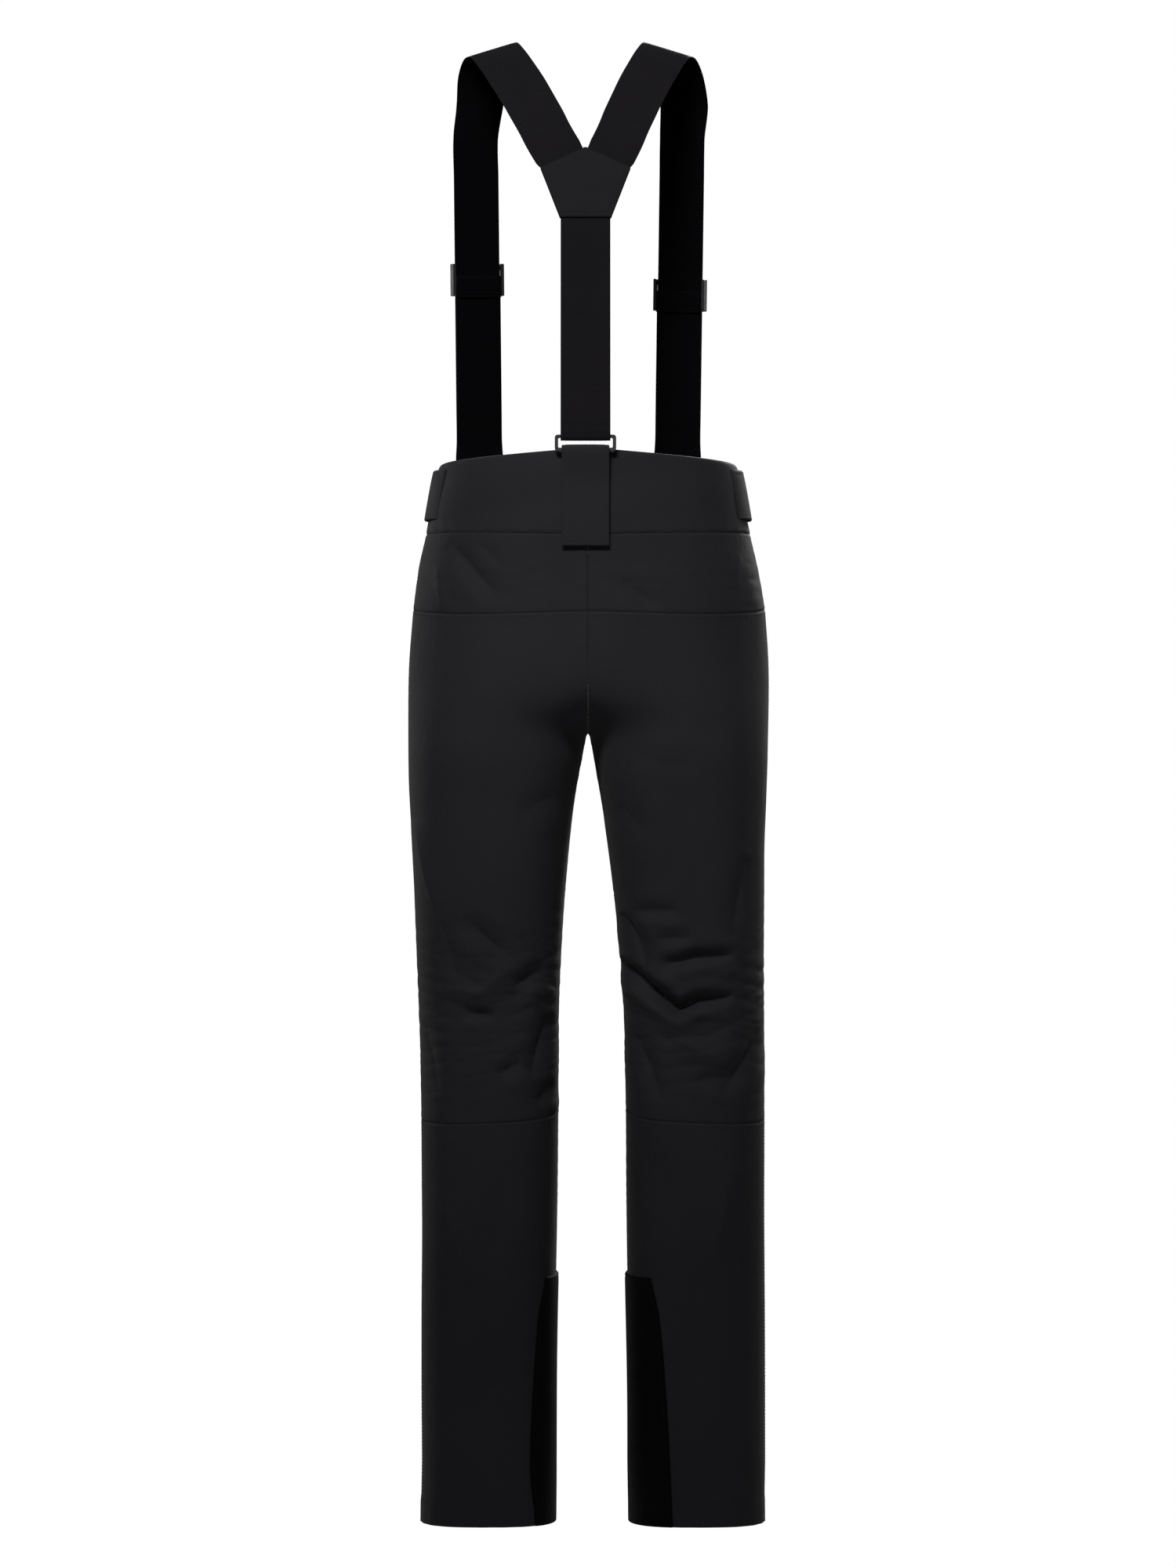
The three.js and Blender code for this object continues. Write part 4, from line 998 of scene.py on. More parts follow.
def add_waist_tab(name, side):
    body = f"{name}_waist_tab"
    add_panel(f"{name}_waist_tab_cloth", side, TAB["start"], TAB["end"], TAB["top"], TAB["bottom"],
              [f"{name}_waist_tab"], MATERIAL["waist"], step=0.002,
              thickness=tab_thickness, sewn=(), relief=tab_relief, body=body)
    add_panel(f"{name}_waist_tab_nap", side, NAP["start"], NAP["end"], TAB["top"] - NAP["inset"],
              TAB["bottom"] + NAP["inset"], [f"{name}_waist_tab_hook"], MATERIAL["hook"],
              step=0.003, lift=TAB["lift"] - TAB["thickness"] - 0.0004, thickness=NAP["thickness"],
              sewn=(), body=body)
    inset = share_of(TAB_INSET, -0.03)
    share = np.linspace(TAB["start"] + inset, TAB["end"] - inset, 60)
    height = np.linspace(TAB["top"] - TAB_INSET, TAB["bottom"] + TAB_INSET, 30)
    lines = [(share, 0 * share + z) for z in (height[0], height[-1])]
    lines += [(0 * height + s, height) for s in (share[0], share[-1])]
    runs = [on_cloth(side, s, z, tab_lift(s) - 0.0002) for s, z in lines]
    add_stitches(f"{name}_waist_tab_stitches", runs, body)


add_waistband()
for side_name, side_sign in SIDES:
    add_waist_tab(side_name, side_sign)

# ------------------------------------------------------------------ straps

RING = {"width": 0.061, "height": 0.0164, "bar": 0.0034, "thickness": 0.003}
REAR = {"ring_z": 0.0185, "ring_y": 0.1135, "patch_top": (0.074, 0.316), "patch_bottom": (0.092, 0.244)}
LAYER_GAP = 0.00035          # between a strap and what it lies on
PROUD = 0.0008               # clearance for the webbing's ribs
LOOP_RADIUS = RING["bar"] / 2 + LAYER_GAP + STRAP_THICK / 2 + PROUD
RIB_PITCH = 0.0024
RIB_STEP = 0.0006


def unit(vector):
    vector = np.asarray(vector, float)
    return vector / np.linalg.norm(vector, axis=-1, keepdims=True)


def smooth_path(stations, step):
    """Centres and half-width vectors every step along a smooth curve through the stations."""
    centres = np.array([s[0] for s in stations], float)
    across = np.array([s[1] for s in stations], float)
    run = run_along(centres)
    places = np.linspace(0, run[-1], max(4, int(run[-1] / step)))
    tangent = np.empty_like(centres)
    tangent[1:-1] = (centres[2:] - centres[:-2]) / (run[2:] - run[:-2])[:, None]
    tangent[0], tangent[-1] = unit(centres[1] - centres[0]), unit(centres[-1] - centres[-2])
    i = np.clip(np.searchsorted(run, places, side="right") - 1, 0, len(run) - 2)
    gap = (run[i + 1] - run[i])[:, None]
    t = (places - run[i])[:, None] / gap
    curve = ((1 + 2 * t) * (1 - t) ** 2 * centres[i] + t * (1 - t) ** 2 * gap * tangent[i]
             + t * t * (3 - 2 * t) * centres[i + 1] + t * t * (t - 1) * gap * tangent[i + 1])
    return curve, rows_at(places, run, across), places


def band_frame(stations, step):
    """Centres, half-width vectors, normals and distances along a band."""
    centre, across, places = smooth_path(stations, step)
    ahead = unit(np.gradient(centre, axis=0))
    return centre, across, unit(np.cross(across, ahead)), places


RIB_DEPTH = 0.00016
CORD_DEPTH = 0.00005
CORDS = 5                    # cords across half a band


def ribbon_grids(stations, thickness, step=RIB_STEP, rib=RIB_DEPTH, columns=26, selvedge=0.35, relief=None):
    """Upper and lower grids of a woven band: cross ribs, lengthwise cords and thinner edges."""
    centre, across, normal, places = band_frame(stations, step)
    even = np.linspace(-0.5, 0.5, columns + 1)
    c = np.sin(np.linspace(-math.pi / 2, math.pi / 2, columns + 1)) * 0.5 + even
    half = thickness / 2 * (1 - selvedge * np.abs(c) ** 6)
    cords = CORD_DEPTH * np.cos(c * 2 * math.pi * CORDS)
    ribs = rib * (np.cos(places * 2 * math.pi / RIB_PITCH)[:, None] - 1) * (1 - np.abs(c) ** 10)
    height = half + cords + ribs
    if relief is not None:
        height = height + relief(places, c)
    middle = centre[:, None] + across[:, None] * c[None, :, None]
    lift = normal[:, None] * height[..., None]
    width = np.linalg.norm(across, axis=1)[:, None] * c
    uv = np.stack([width, places[:, None] + 0 * width], -1)
    return middle + lift, middle - lift, uv


def add_band(name, stations, thickness, nodes, slot, material, body="root", under=None, **options):
    """A band; under is the material of its lower face."""
    upper, lower, uv = ribbon_grids(stations, thickness, **options)
    piece = add_sheet(name, upper, lower, uv, nodes, material, body)
    if under is not None:
        piece.data.materials.append(under)
        count = (upper.shape[0] - 1) * (upper.shape[1] - 1)
        marks = np.zeros(len(piece.data.polygons), dtype=np.int32)
        marks[count:2 * count] = 1
        piece.data.polygons.foreach_set("material_index", marks)
    return piece


def ribbon_solid(stations, **options):
    """Points, faces and UVs of a closed band."""
    upper, lower, uv = ribbon_grids(stations, STRAP_THICK, **options)
    points, faces = closed_sheet(upper, lower)
    return points, outward(upper, lower, faces), np.concatenate([uv.reshape(-1, 2)] * 2)


def merged(solids):
    """Several (points, faces, uv) as one."""
    counts = np.cumsum([0] + [len(points) for points, _, _ in solids])
    faces = [f + count for (_, f, _), count in zip(solids, counts)]
    return (np.concatenate([p for p, _, _ in solids]), np.concatenate(faces),
            np.concatenate([uv for _, _, uv in solids]))


def arc_yz(y, z, radius, start, end, steps=12):
    angles = np.linspace(start, end, steps + 1)
    return [(y + radius * math.cos(a), z + radius * math.sin(a)) for a in angles]


def in_plane(points, half_width, x=HARNESS_SHIFT):
    """Stations of a band that runs in the plane of the centre back."""
    return [((x, y, z), (half_width, 0, 0)) for y, z in points]


def back_surface(z):
    """How far back the bare cloth is at the centre, at a height."""
    return float(cloth(1, np.array(0.0), np.array(z), 0.0, 0.0)[1])


LINE_STEP = 0.001


def band_line(stations, thickness, offset, start, end, lift=0.0001, count=200):
    """Path and normals of a line on a band, offset metres from its middle, from start to end."""
    centre, across, normal, places = band_frame(stations, LINE_STEP)
    at = np.linspace(start, end, count)
    middle = centre + unit(across) * offset + normal * (thickness / 2 + lift)
    return rows_at(at, places, middle), unit(rows_at(at, places, normal))


def cross_line(stations, thickness, place, reach, lift=0.0001, count=30):
    """Path and normals of a line straight across a band at a distance along it."""
    centre, across, normal, places = band_frame(stations, LINE_STEP)
    here = rows_at(place, places, centre)
    wide = unit(rows_at(place, places, across))
    up = unit(rows_at(place, places, normal))
    ends = np.linspace(-reach, reach, count)[:, None]
    return here + wide * ends + up * (thickness / 2 + lift), np.repeat(up[None], count, 0)


def pressed(lines, depth=0.0005, width=0.0011):
    """Relief of a band where rows of stitching across it pull it down."""
    def relief(places, c):
        total = sum(bell(places - line, width) for line in lines)
        return -depth * total[:, None] * (np.abs(c) < 0.93)
    return relief


# ---- rear flap, strap and patch

FLAP_BOTTOM_Z = -0.084
FLAP_HALF = 0.0237
FLAP_THICK = 0.002
FLAP_LIFT = 0.0047
FLAP_INSET = 0.0032          # from the flap's edge to its stitches


def flap_relief(places, c):
    edge = np.minimum(FLAP_HALF * (1 - np.abs(c))[None, :], places[:, None])
    sway = 0.00035 * np.sin(places * 75 + 0.7)[:, None] * np.cos(c * 1.3)[None, :]
    return bordered(edge, FLAP_INSET, (0.0006, 0.0010), (0.0003, 0.0009)) + sway


def add_flap_stitches(stations):
    top, second_row = 0.098, FLAP_INSET + 0.014
    reach = FLAP_HALF - FLAP_INSET
    runs = [band_line(stations, FLAP_THICK, sign * reach, FLAP_INSET, top, -0.0002) for sign in (-1, 1)]
    runs.append(cross_line(stations, FLAP_THICK, FLAP_INSET, reach, -0.0002))
    runs.append(cross_line(stations, FLAP_THICK, second_row, reach, 0.0))
    add_stitches("back_flap_stitches", runs, "back_flap")


def add_rear_flap():
    """The flap hangs over the waistband, goes round the ring's lower bar and holds by hook and loop."""
    bar_z = REAR["ring_z"] - RING["height"] / 2 + RING["bar"] / 2
    wrap = RING["thickness"] / 2 + 0.00135
    hanging = [(back_surface(z) + FLAP_LIFT, z) for z in (FLAP_BOTTOM_Z, -0.050, -0.020)]
    points = hanging + [(REAR["ring_y"] + wrap + 0.001, bar_z - 0.003)]
    points += arc_yz(REAR["ring_y"], bar_z, wrap + 0.001, 0, math.pi * 0.95)
    stations = in_plane(points, FLAP_HALF)
    add_band("back_flap_cloth", stations, FLAP_THICK, ["back_flap"], "waistband_fabric", MATERIAL["waist"],
             "back_flap", rib=0.0, columns=44, step=0.0009, selvedge=0.2, relief=flap_relief)
    add_flap_stitches(stations)
    nap = {"rib": 0.0, "columns": 16, "step": 0.002}
    base = in_plane([(back_surface(z) + 0.00115, z) for z in (-0.066, -0.032, 0.002)], 0.022)
    add_band("back_flap_base_nap", base, 0.0010, ["back_flap_base"], "waistband_fabric", MATERIAL["loop"],
             **nap)
    hook = in_plane([(back_surface(z) + FLAP_LIFT - 0.00195, z) for z in (-0.080, -0.055, -0.030)], 0.021)
    add_band("back_flap_hook_nap", hook, 0.0011, ["back_flap_hook"], "hook_tape", MATERIAL["hook"],
             "back_flap", **nap)


STRAP_TOP_Z = 0.258          # the rear strap's end, between the patch's leaves


def add_rear_strap():
    """From the patch down to the ring's upper bar, round it, and sewn to itself."""
    bar_z = REAR["ring_z"] + RING["height"] / 2 - RING["bar"] / 2
    outer_y = REAR["ring_y"] + LOOP_RADIUS
    (top_y, top_z), (low_y, low_z) = REAR["patch_top"], REAR["patch_bottom"]
    points = []
    for z in (STRAP_TOP_Z, 0.243, 0.180, 0.120, 0.060):
        if z > low_z - 0.002:
            y = low_y + (top_y - low_y) * (z - low_z) / (top_z - low_z)
        else:
            y = low_y + (outer_y - low_y) * (low_z - z) / (low_z - 0.032)
        points.append((y, z))
    points.append((outer_y, bar_z + 0.008))
    points += arc_yz(REAR["ring_y"], bar_z, LOOP_RADIUS, 0, -math.pi)
    points.append((REAR["ring_y"] - LOOP_RADIUS + 0.0012, bar_z + 0.006))
    points.append((outer_y - STRAP_THICK - PROUD, bar_z + 0.014))
    stations = in_plane(points, STRAP_WIDTH / 2)
    sewn = [STRAP_TOP_Z - z for z in (0.0365, 0.0325)]
    add_band("back_strap_webbing", stations, STRAP_THICK, ["back_strap"], "elastic_webbing",
             MATERIAL["webbing"], relief=pressed(sewn))
    runs = [cross_line(stations, STRAP_THICK, place, STRAP_WIDTH / 2 - 0.002, -0.0001) for place in sewn]
    add_stitches("back_strap_stitches", runs)


PATCH_HEIGHT = math.dist(REAR["patch_top"], REAR["patch_bottom"])
PATCH_FOOT, PATCH_CORNER, PATCH_PEAK = 0.0255, 0.045, 0.022


def patch_half_width(height):
    """Half width of the patch at a height, from its foot to its side corners."""
    return np.interp(height, [0, PATCH_HEIGHT - PATCH_PEAK], [PATCH_FOOT, PATCH_CORNER])


def patch_frame():
    """Foot, upward and outward directions of the patch plane."""
    (top_y, top_z), (low_y, low_z) = REAR["patch_top"], REAR["patch_bottom"]
    up = unit([0, top_y - low_y, top_z - low_z])
    out = np.cross(up, [1, 0, 0])
    return np.array([HARNESS_SHIFT, low_y, low_z]), up, out * np.sign(out[1])


def add_patch_leaf(name, node, sign):
    foot, up, out = patch_frame()
    c, v = np.meshgrid(spaced(0.07, 0.0018) * 2 - 1, spaced(PATCH_HEIGHT, 0.0018))
    height = v * (PATCH_HEIGHT - PATCH_PEAK * np.abs(c))
    x = c * patch_half_width(height)
    edge = np.minimum.reduce([(1 - np.abs(c)) * patch_half_width(height), height,
                              PATCH_HEIGHT - PATCH_PEAK * np.abs(c) - height])
    half = 0.00075
    under_strap = bell(np.clip(np.abs(x) - STRAP_WIDTH / 2, 0, 1), 0.004)
    rise = half + 0.0004 * np.clip(edge / 0.006, 0, 1) + bordered(edge, 0.003) + 0.0002 * under_strap
    stand = STRAP_THICK / 2 + LAYER_GAP + PROUD
    plane = foot + x[..., None] * np.array([1, 0, 0]) + height[..., None] * up
    outer = plane + (sign * (stand + rise))[..., None] * out
    inner = plane + (sign * (stand - half) + 0 * rise)[..., None] * out
    return add_sheet(name, outer, inner, np.stack([x, height], -1), [node],
                     MATERIAL["patch"])


def patch_outline(inset):
    """Closed path just inside the patch's edge, on its outer leaf."""
    foot, up, out = patch_frame()
    corner = PATCH_HEIGHT - PATCH_PEAK
    heights = np.linspace(inset, corner - inset, 40)
    side = [(patch_half_width(h) - inset, h) for h in heights]
    peak = (0, PATCH_HEIGHT - 1.2 * inset)
    points = [(-x, h) for x, h in side] + [peak] + side[::-1] + [(-side[0][0], inset)]
    lift = STRAP_THICK / 2 + 0.0020
    path = [foot + x * np.array([1, 0, 0]) + h * up + lift * out for x, h in points]
    return path, np.repeat(out[None], len(path), 0)


add_rear_flap()
add_rear_strap()
add_patch_leaf("y_patch_outer_leaf", "y_patch_outer", 1)
add_patch_leaf("y_patch_inner_leaf", "y_patch_inner", -1)
add_stitches("y_patch_stitches", [patch_outline(0.003), patch_outline(0.0055)])

# ---- shoulders and fronts

FRONT = {
    "share": {"left": 0.733, "right": 0.783}, "ring_z": -0.003, "chest": (0.105, -0.064, 0.330),
    "turn": math.radians(25), "slider_z": {"left": 0.196, "right": 0.181},
    "layer": (STRAP_THICK + LAYER_GAP) / 2,
}
TOP_BAR = RING["height"] / 2 - RING["bar"] / 2             # from a ring's middle to its upper bar's
# Over the shoulder: place of the strap's middle, and how its width leans in, back and up.
SHOULDER = [
    (0.104, -0.056, 0.375, 0.97, 0, 0.14), (0.101, -0.046, 0.404, 0.97, 0, 0.2),
    (0.095, -0.031, 0.421, 0.96, 0, 0.26), (0.088, -0.014, 0.424, 0.95, 0, 0.3),
    (0.080, 0.001, 0.414, 0.93, 0, 0.35), (0.0704, 0.016, 0.398, 0.92, 0, 0.39),
    (0.0605, 0.033, 0.380, 0.9, 0, 0.43), (0.0508, 0.0495, 0.360, 0.89, 0.03, 0.45),
    (0.0426, 0.0615, 0.343, 0.88, 0.06, 0.46), (0.036, 0.0695, 0.328, 0.87, 0.1, 0.47),
    (0.027, 0.0753, 0.311, 0.86, 0.12, 0.485),
]


class FrontRun:
    """Straight run of a front strap from its ring up the chest."""

    def __init__(self, name, side):
        self.start = cloth(side, np.array(FRONT["share"][name]), np.array(FRONT["ring_z"]), 0.0075, 0.0)
        chest = np.array(FRONT["chest"]) * (side, 1, 1) + (CHEST_SHIFT, 0, 0)
        self.up = unit(chest - self.start)
        across = np.array([side * math.cos(FRONT["turn"]), math.sin(FRONT["turn"]), 0])
        self.across = unit(across - self.up * across.dot(self.up))
        self.outward = np.cross(self.across, self.up) * side

    def point(self, z, lift):
        return self.start + self.up * (z - self.start[2]) / self.up[2] + self.outward * lift

    def arc(self, offset, radius, start, end):
        """Round a bar of the ring."""
        return [self.start + self.up * (offset + radius * math.sin(a)) + self.outward * radius * math.cos(a)
                for a in np.linspace(start, end, 13)]

    def widened(self, points, half):
        return [(point, self.across * half) for point in points]


def shoulder_stations(side):
    stations = []
    for x, y, z, flat, back, rise in SHOULDER:
        sway = HARNESS_SHIFT + (SHOULDER_SHIFT - HARNESS_SHIFT) * min(1, max(0, (z - 0.300) / 0.120))
        stations.append(((side * x + sway, y, z), unit([side * flat, back, -rise]) * STRAP_WIDTH / 2))
    stations.append(((side * 0.02035 + HARNESS_SHIFT, 0.0778, 0.301), (side * 0.01965, 0.00265, -0.0105)))
    return stations


def add_shoulder_webbing(name, side, run):
    outer = [run.point(z, FRONT["layer"]) for z in (0.340, 0.300, 0.240, 0.180, 0.120, 0.060, 0.032)]
    outer += [run.point(0.016, LOOP_RADIUS - 0.0006)] + run.arc(TOP_BAR, LOOP_RADIUS, 0, -math.pi * 0.92)
    stations = shoulder_stations(side)[::-1] + run.widened(outer, STRAP_WIDTH / 2)
    # The band's width points the other way on the right, so its upper and lower faces change places.
    upper, lower = MATERIAL["front_webbing"], MATERIAL["webbing"]
    if side < 0:
        upper, lower = lower, upper
    add_band(f"{name}_shoulder_webbing", stations, STRAP_THICK, [f"{name}_shoulder_strap"],
             "elastic_webbing", upper, under=lower)


def add_return_webbing(name, run):
    """The strap's lower limb, from the ring up to the slider, and its end sewn round the slider's bar."""
    half, layer = STRAP_WIDTH / 2, FRONT["layer"]
    slider_z = FRONT["slider_z"][name]
    inner = [run.point(z, -layer) for z in (slider_z - 0.005, 0.120, 0.060, 0.032)]
    inner.append(run.point(0.016, -LOOP_RADIUS + 0.0006))
    inner.append(run.point(run.start[2] + TOP_BAR + 0.001, -LOOP_RADIUS))
    main_run = ribbon_solid(run.widened(inner, half))
    sewn_lift = -(layer + STRAP_THICK + 0.0002)
    bar_lift = -0.0031
    # Heights from the slider's middle, and lifts off the strap.
    turns = ((-0.0175, sewn_lift), (-0.014, sewn_lift), (-0.008, bar_lift), (0.001, bar_lift),
             (0.0026, bar_lift + 0.0004), (0.0036, bar_lift + 0.0013), (0.0038, bar_lift + 0.0020))
    fold = [run.point(slider_z + z, lift) for z, lift in turns]
    fold_run = ribbon_solid(run.widened(fold, half), relief=pressed((0.0022, 0.0062), 0.0004))
    points, faces, uv = merged([main_run, fold_run])
    piece = add_mesh(f"{name}_return_webbing", points, faces, [f"{name}_strap_return"],
                     MATERIAL["front_webbing"], None, uv)
    ring_end, slider_end = run.point(0.020, -layer), run.point(slider_z - 0.012, -layer)
    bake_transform(piece)


FRONT_TAB = {"half": 0.023, "thickness": 0.0014, "rows": (0.004, 0.016), "row_reach": 0.019}


def add_front_tab(name, side, run):
    share = FRONT["share"][name]
    sewn = [cloth(side, np.array(share), np.array(z), 0.00145, 0.0) for z in (-0.064, -0.040, -0.022)]
    bend = run.start + run.outward * LOOP_RADIUS - run.up * (TOP_BAR + 0.003)
    over = run.arc(-TOP_BAR, LOOP_RADIUS, 0, math.pi * 0.92)
    tab = run.widened(sewn + [bend] + over, FRONT_TAB["half"])
    add_band(f"{name}_front_tab_cloth", tab, FRONT_TAB["thickness"], [f"{name}_front_tab"],
             "waistband_fabric", MATERIAL["waist"], rib=0.0, columns=20, step=0.0012,
             relief=pressed(FRONT_TAB["rows"], 0.0003))
    # The stitches lie on the worn face, so the band's width is turned to point that way.
    turned = [(centre, np.array(across) * -side) for centre, across in tab]
    rows = [cross_line(turned, FRONT_TAB["thickness"], place, FRONT_TAB["row_reach"])
            for place in FRONT_TAB["rows"]]
    add_stitches(f"{name}_front_tab_stitches", rows)


for side_name, side_sign in SIDES:
    front_run = FrontRun(side_name, side_sign)
    add_shoulder_webbing(side_name, side_sign, front_run)
    add_return_webbing(side_name, front_run)
    add_front_tab(side_name, side_sign, front_run)

# ------------------------------------------------------------------ hardware


def finish_hard(node, material, bevel=0.0006, segments=3):
    """A CAD piece shown as it is, with rounded edges and its finish."""
    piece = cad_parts[node]
    piece.data.materials.clear()
    piece.data.materials.append(MATERIAL[material])
    rounding = piece.modifiers.new("rounding", "BEVEL")
    rounding.width = bevel
    rounding.segments = segments
    rounding.limit_method = "ANGLE"
    rounding.angle_limit = math.radians(35)
    rounding.harden_normals = True


def finish_hardware():
    finish_hard("back_ring", "plastic", 0.0010)
    for place in ("upper", "lower"):
        finish_hard(f"snap_stud_{place}", "snap_metal", 0.0005)
        finish_hard(f"snap_cap_{place}", "snap_metal", 0.0007)
    for part in ("fly_zip_slider", "fly_zip_pull"):
        finish_hard(part, "zip_metal", 0.0004)
    for name, _ in SIDES:
        finish_hard(f"{name}_front_ring", "plastic", 0.0008)
        finish_hard(f"{name}_strap_slider", "slider", 0.0013, 4)
        for part in ("slider", "pull"):
            finish_hard(f"{name}_pocket_zip_{part}", "zip_metal", 0.0004)


finish_hardware()

# ------------------------------------------------------------------ fly and overlap


def front_grid(start_x, end_x, top, bottom, step):
    """A grid on the centre front: x, height, share of the way across, and edge distances."""
    width, height = abs(end_x - start_x), top - bottom
    u, v = np.meshgrid(spaced(width, step), spaced(height, step))
    distances = (u * width, (1 - u) * width, v * height, (1 - v) * height)
    return start_x + (end_x - start_x) * u, top - height * v, u, distances


def front_cloth(x, z, lift):
    """Points on the centre front at a distance x from the middle."""
    share = 1 - np.abs(x) / length_at(z)
    left, right = cloth(1, share, z, lift), cloth(-1, share, z, lift)
    return np.where((x >= 0)[..., None], left, right)


def add_front_strip(name, spec, lift, thickness, node, material, body, relief=None, step=0.002):
    x, z, u, distances = front_grid(*spec, step)
    rise = lift(u) + (relief(distances) if relief else 0)
    outer, inner = front_cloth(x, z, rise), front_cloth(x, z, rise - thickness)
    return add_sheet(name, outer, inner, np.stack([x, z], -1), [node], material, body)


def stitched_border(inset):
    return lambda distances: bordered(np.minimum.reduce(distances), inset)


def border_runs(spec, lift, inset, drop=0.0002):
    """Stitch lines just inside the four edges of a strip on the centre front."""
    start_x, end_x, top, bottom = spec
    turn = math.copysign(inset, end_x - start_x)
    left, right, high, low = start_x + turn, end_x - turn, top - inset, bottom + inset
    count = 80
    corners = [((left, high), (right, high)), ((right, high), (right, low)),
               ((right, low), (left, low)), ((left, low), (left, high))]
    runs = []
    for (x0, z0), (x1, z1) in corners:
        x, z = np.linspace(x0, x1, count), np.linspace(z0, z1, count)
        u = (x - start_x) / (end_x - start_x)
        path = front_cloth(x, z, lift(u) - drop)
        runs.append((path, unit(front_cloth(x, z, lift(u) + 0.001) - path)))
    return runs


COIL_PITCH = 0.0016


def coil_teeth(places, ahead, across, out, half):
    """Points and faces of a coil zip's two rows of teeth along a path."""
    run = run_along(places)
    at = np.arange(COIL_PITCH, run[-1] - COIL_PITCH, COIL_PITCH)
    angle = np.linspace(0, 2 * math.pi, SIDES_ROUND + 1)[:-1, None]
    ring = np.cos(angle) * ahead + np.sin(angle) * out
    # How far out from the middle each ring of a tooth lies, and its radius.
    tooth = ((-0.0004, 0.0002), (0.0002, 0.00052), (half, 0.00048), (half + 0.0003, 0.0002))
    rings, faces = [], []
    for row, sign in enumerate((-1, 1)):
        for middle in rows_at(at + row * COIL_PITCH / 2, run, places):
            faces.append(tube_faces(len(tooth)) + SIDES_ROUND * len(rings))
            rings += [middle + sign * across * reach + out * 0.0004 + size * ring for reach, size in tooth]
    return np.concatenate(rings), np.concatenate(faces)


# Strips on the centre front: x of the sewn edge, x of the other edge, top and bottom.
FLY_TAPE = (-FLY_SLOT + 0.00035, FLY_SLOT - 0.00035, FLY_TOP_Z, FLY_BOTTOM_Z + 0.001)
FLY_FLAP = (0.026, -0.020, FLY_TOP_Z - 0.001, FLY_BOTTOM_Z - 0.030)
OVERLAP = (0.036, -0.032, -0.020, -0.076)
FLAP_ROW = 0.006             # from the fly flap's edge to its stitches
OVERLAP_ROW = 0.0045
TAPE_DEPTH = 0.0004          # how far the fly's tape lies below the shell's face


def fly_flap_lift(u):
    """The flap rises from its sewn edge to lie over the zip."""
    return 0.00215 + 0.0042 * np.clip(u * 3.2, 0, 1)


def overlap_lift(u):
    """The overlap rises from its sewn edge to lie over the snaps."""
    return 0.00225 + 0.0024 * np.clip(u * 3, 0, 1)


def add_fly_zip():
    add_front_strip("fly_zip_tape", FLY_TAPE, lambda u: 0 * u - TAPE_DEPTH, 0.0009, "fly_zip_chain",
                    MATERIAL["tape"], "root")
    z = np.linspace(FLY_TOP_Z - 0.012, FLY_BOTTOM_Z + 0.004, 60)
    # The slider runs straight while the belly bulges, so the coil sinks a little on the way.
    sunk = 0.0009 * np.clip((FLY_TOP_Z - 0.020 - z) / 0.03, 0, 1)
    path = front_cloth(0 * z, z, -TAPE_DEPTH - sunk)
    ahead = unit(path[-1] - path[0])
    out = np.array([0, -1, 0]) + ahead * ahead[1]
    teeth, faces = coil_teeth(path, ahead, np.array([1.0, 0, 0]), unit(out), 0.0016)
    add_mesh("fly_zip_coil", teeth, faces, [], MATERIAL["teeth"])


def add_fly():
    add_fly_zip()
    flap = add_front_strip("fly_flap_cloth", FLY_FLAP, fly_flap_lift, 0.0018, "fly_flap",
                           MATERIAL["shell"], "fly_flap", stitched_border(FLAP_ROW))
    add_stitches("fly_flap_stitches", border_runs(FLY_FLAP, fly_flap_lift, FLAP_ROW), "fly_flap")
    add_front_strip("waist_overlap_cloth", OVERLAP, overlap_lift, 0.0019, "waist_overlap_tab",
                    MATERIAL["waist"], "waist_overlap", stitched_border(OVERLAP_ROW))
    add_stitches("waist_overlap_stitches", border_runs(OVERLAP, overlap_lift, OVERLAP_ROW),
                 "waist_overlap")


# ------------------------------------------------------------------ hand pockets

POCKET = {"share": 0.69, "top": -0.096, "bottom": -0.236, "half": 0.0045}


def add_pocket(name, side):
    """Zip tape with a coil along its middle and a raised welt on each side of it."""
    share, half = POCKET["share"], POCKET["half"]

    def start(z):
        return share - share_of(half, z)

    def end(z):
        return share + share_of(half, z)

    def settled(z):
        """How far the zip lies lower down its length, where the slider's straight way runs closer."""
        return 0.0008 * np.clip((POCKET["top"] - 0.045 - z) / 0.04, 0, 1)

    def welts(_share, z, distances):
        from_edge = np.minimum(distances[0], distances[1])
        return 0.0010 + 0.0006 * bell(from_edge - 0.0012, 0.0009) - settled(z)

    add_panel(f"{name}_pocket_zip_tape", side, start, end, POCKET["top"], POCKET["bottom"],
              [f"{name}_pocket_zip_chain"], MATERIAL["tape"], step=0.0012, thickness=0.0007,
              sewn=(), relief=welts)
    z = np.linspace(POCKET["top"] - 0.004, POCKET["bottom"] + 0.004, 80)
    path = cloth(side, share + 0 * z, z, 0.0011 - settled(z))
    ahead = unit(path[-1] - path[0])
    middle = len(z) // 2
    out = unit(cloth(side, share + 0 * z, z, 0.01)[middle] - path[middle])
    teeth, faces = coil_teeth(path, ahead, unit(np.cross(ahead, out)), out, 0.0014)
    add_mesh(f"{name}_pocket_zip_coil", teeth, faces, [], MATERIAL["teeth"])
    runs = [on_cloth(side, share + share_of(offset, z), z, 0.0) for offset in (-half - 0.003, half + 0.003)]
    add_stitches(f"{name}_pocket_stitches", runs)


# ------------------------------------------------------------------ topstitching on the shell


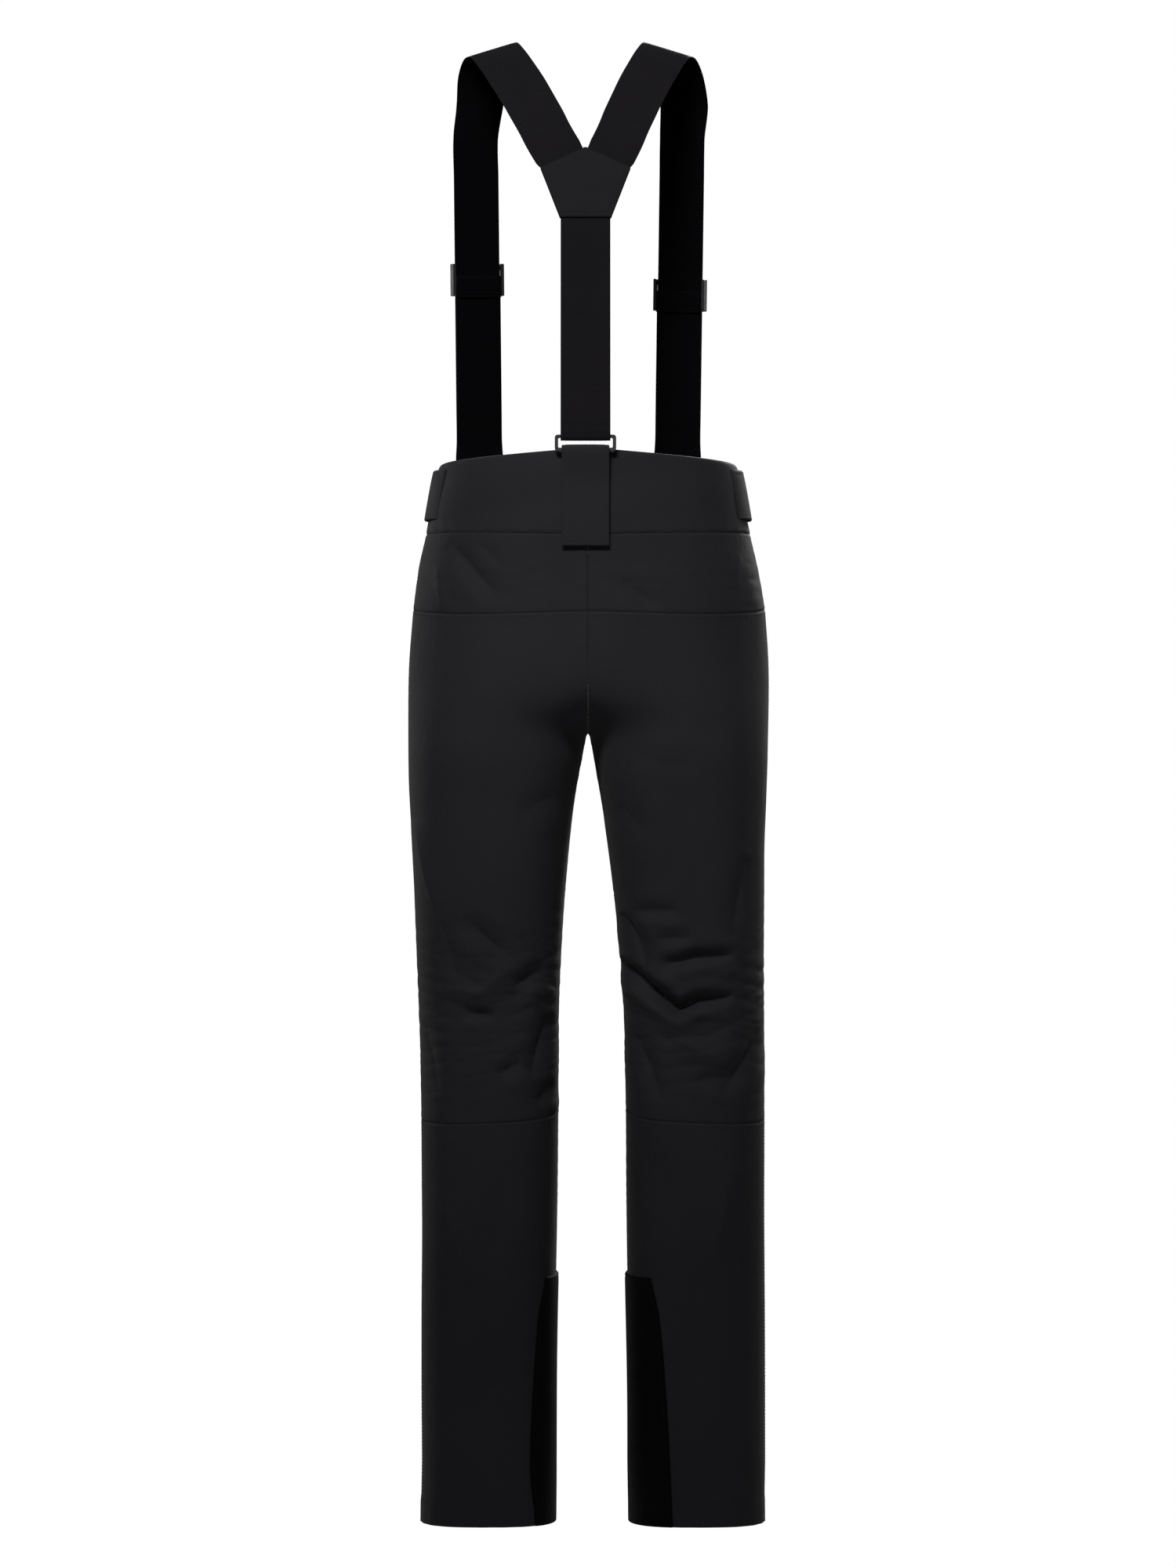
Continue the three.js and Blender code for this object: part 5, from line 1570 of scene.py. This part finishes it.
def add_topstitching(name, side):
    """Rows of stitches beside the main seams, round the hem and round the scuff guard."""
    row = 0.0032             # from a seam to its stitches
    back = np.linspace(0.012, 0.488, 160)
    front = np.linspace(0.512, 0.965, 160)
    lines = [(back, YOKE_SEAM(back) - row), (back, CALF_SEAM(back) - row), (back, WAIST_SEAM(back) + row),
             (front, WAIST_SEAM(front) + row), (front, KNEE_TOP_Z - row + 0 * front),
             (front, KNEE_FRONT_Z - row + 0 * front)]
    hem = np.linspace(0.012, 0.988, 320)
    lines.append((hem, HEM_Z + HEM_TURN + 0 * hem))
    runs = [on_cloth(side, share, z, 0.0001) for share, z in lines]
    down = np.linspace(-0.085, HEM_Z + 0.03, 300)
    runs.append(on_cloth(side, 0.5 + share_of(row, down), down, 0.0001))
    add_stitches(f"{name}_topstitching", runs)
    edge = np.linspace(GUARD_TOP_Z - row, HEM_Z + 0.004, 120)
    guard_run = on_cloth(side, GUARD_BACK[name](edge) - share_of(row, edge), edge, GUARD_LIFT)
    add_stitches(f"{name}_guard_stitches", [guard_run],
                 material=MATERIAL["guard_thread"])


add_fly()
for side_name, side_sign in SIDES:
    add_pocket(side_name, side_sign)
    add_topstitching(side_name, side_sign)


# ------------------------------------------------------------------ stage, light and camera

CAMERA_DISTANCE = 6.0
CAMERA_Z = -0.320
VIEW_HEIGHT = 1.586          # height of the picture at the side seams
FLOOR_Z = -1.30
FLOOR_RADIUS = 1.38
FLOOR_CORNERS = 96


def glowing(name, colour, strength):
    s = Shader(name)
    s.set(Base_Color=(*colour, 1), Roughness=0.9, Specular_IOR_Level=0.0, Emission_Color=(1, 1, 1, 1),
          Emission_Strength=strength)
    return s.material


def add_floor():
    """A round pale floor, out of the photograph's view."""
    angles = np.linspace(0, 2 * math.pi, FLOOR_CORNERS, endpoint=False)
    rim = [(FLOOR_RADIUS * math.cos(a), FLOOR_RADIUS * math.sin(a), FLOOR_Z) for a in angles]
    floor = add_mesh("stage_floor", rim, [list(range(FLOOR_CORNERS))], [],
                     glowing("stage_floor_paint", (0.5, 0.5, 0.5), 0.12), body=None)


def add_light(name, place, target_z, size, power, spread):
    lamp = bpy.data.lights.new(name, "AREA")
    lamp.shape = "RECTANGLE"
    lamp.size, lamp.size_y = size
    lamp.energy = power
    lamp.spread = math.radians(spread)
    light = bpy.data.objects.new(name, lamp)
    light.location = place
    light.rotation_euler = (Vector((0, 0, target_z)) - Vector(place)).to_track_quat("-Z", "Y").to_euler()
    bpy.context.scene.collection.objects.link(light)


STUDIO_LIGHT = 0.085         # light that the white studio throws on the object
STUDIO_WHITE = 1.0           # the same studio as the camera sees it


def add_studio():
    """White surroundings that light the cloth only softly."""
    world = bpy.data.worlds.new("studio")
    world.use_nodes = True
    nodes, links = world.node_tree.nodes, world.node_tree.links
    seen = nodes.new("ShaderNodeLightPath")
    level = nodes.new("ShaderNodeMapRange")
    level.inputs["To Min"].default_value = STUDIO_LIGHT
    level.inputs["To Max"].default_value = STUDIO_WHITE
    links.new(seen.outputs["Is Camera Ray"], level.inputs["Value"])
    links.new(level.outputs[0], nodes["Background"].inputs["Strength"])
    nodes["Background"].inputs["Color"].default_value = (1, 1, 1, 1)
    bpy.context.scene.world = world


# name, place, height of the target on the centre line, size, watts, spread in degrees
LIGHTS = [
    ("key_light", (0.5, 2.2, 1.9), 0.10, (1.0, 0.6), 13.2, 50),
    ("side_light", (-2.4, 1.6, 1.2), -0.4, (0.5, 1.2), 0.15, 100),
    ("low_light", (-0.2, 2.4, -0.95), -0.30, (1.0, 0.3), 0.5, 22),
    ("front_light", (-0.9, -3.2, 1.9), -0.3, (1.8, 1.2), 34, 46),
    ("left_light", (2.7, -2.4, 0.8), -0.3, (0.8, 1.4), 5.0, 60),
    ("right_light", (-2.7, -2.4, 0.8), -0.3, (0.8, 1.4), 3.5, 60),
]


def add_stage():
    add_floor()
    add_studio()
    for light in LIGHTS:
        add_light(*light)


def add_camera():
    lens = bpy.data.cameras.new("photo_camera")
    lens.sensor_fit = "VERTICAL"
    lens.sensor_height = 36.0
    lens.lens = lens.sensor_height * CAMERA_DISTANCE / VIEW_HEIGHT
    camera = bpy.data.objects.new("photo_camera", lens)
    camera.location = (0, CAMERA_DISTANCE, CAMERA_Z)
    camera.rotation_euler = (math.pi / 2, 0, math.pi)
    bpy.context.scene.collection.objects.link(camera)
    bpy.context.scene.camera = camera


add_stage()
add_camera()
bpy.context.scene.view_settings.view_transform = "Standard"
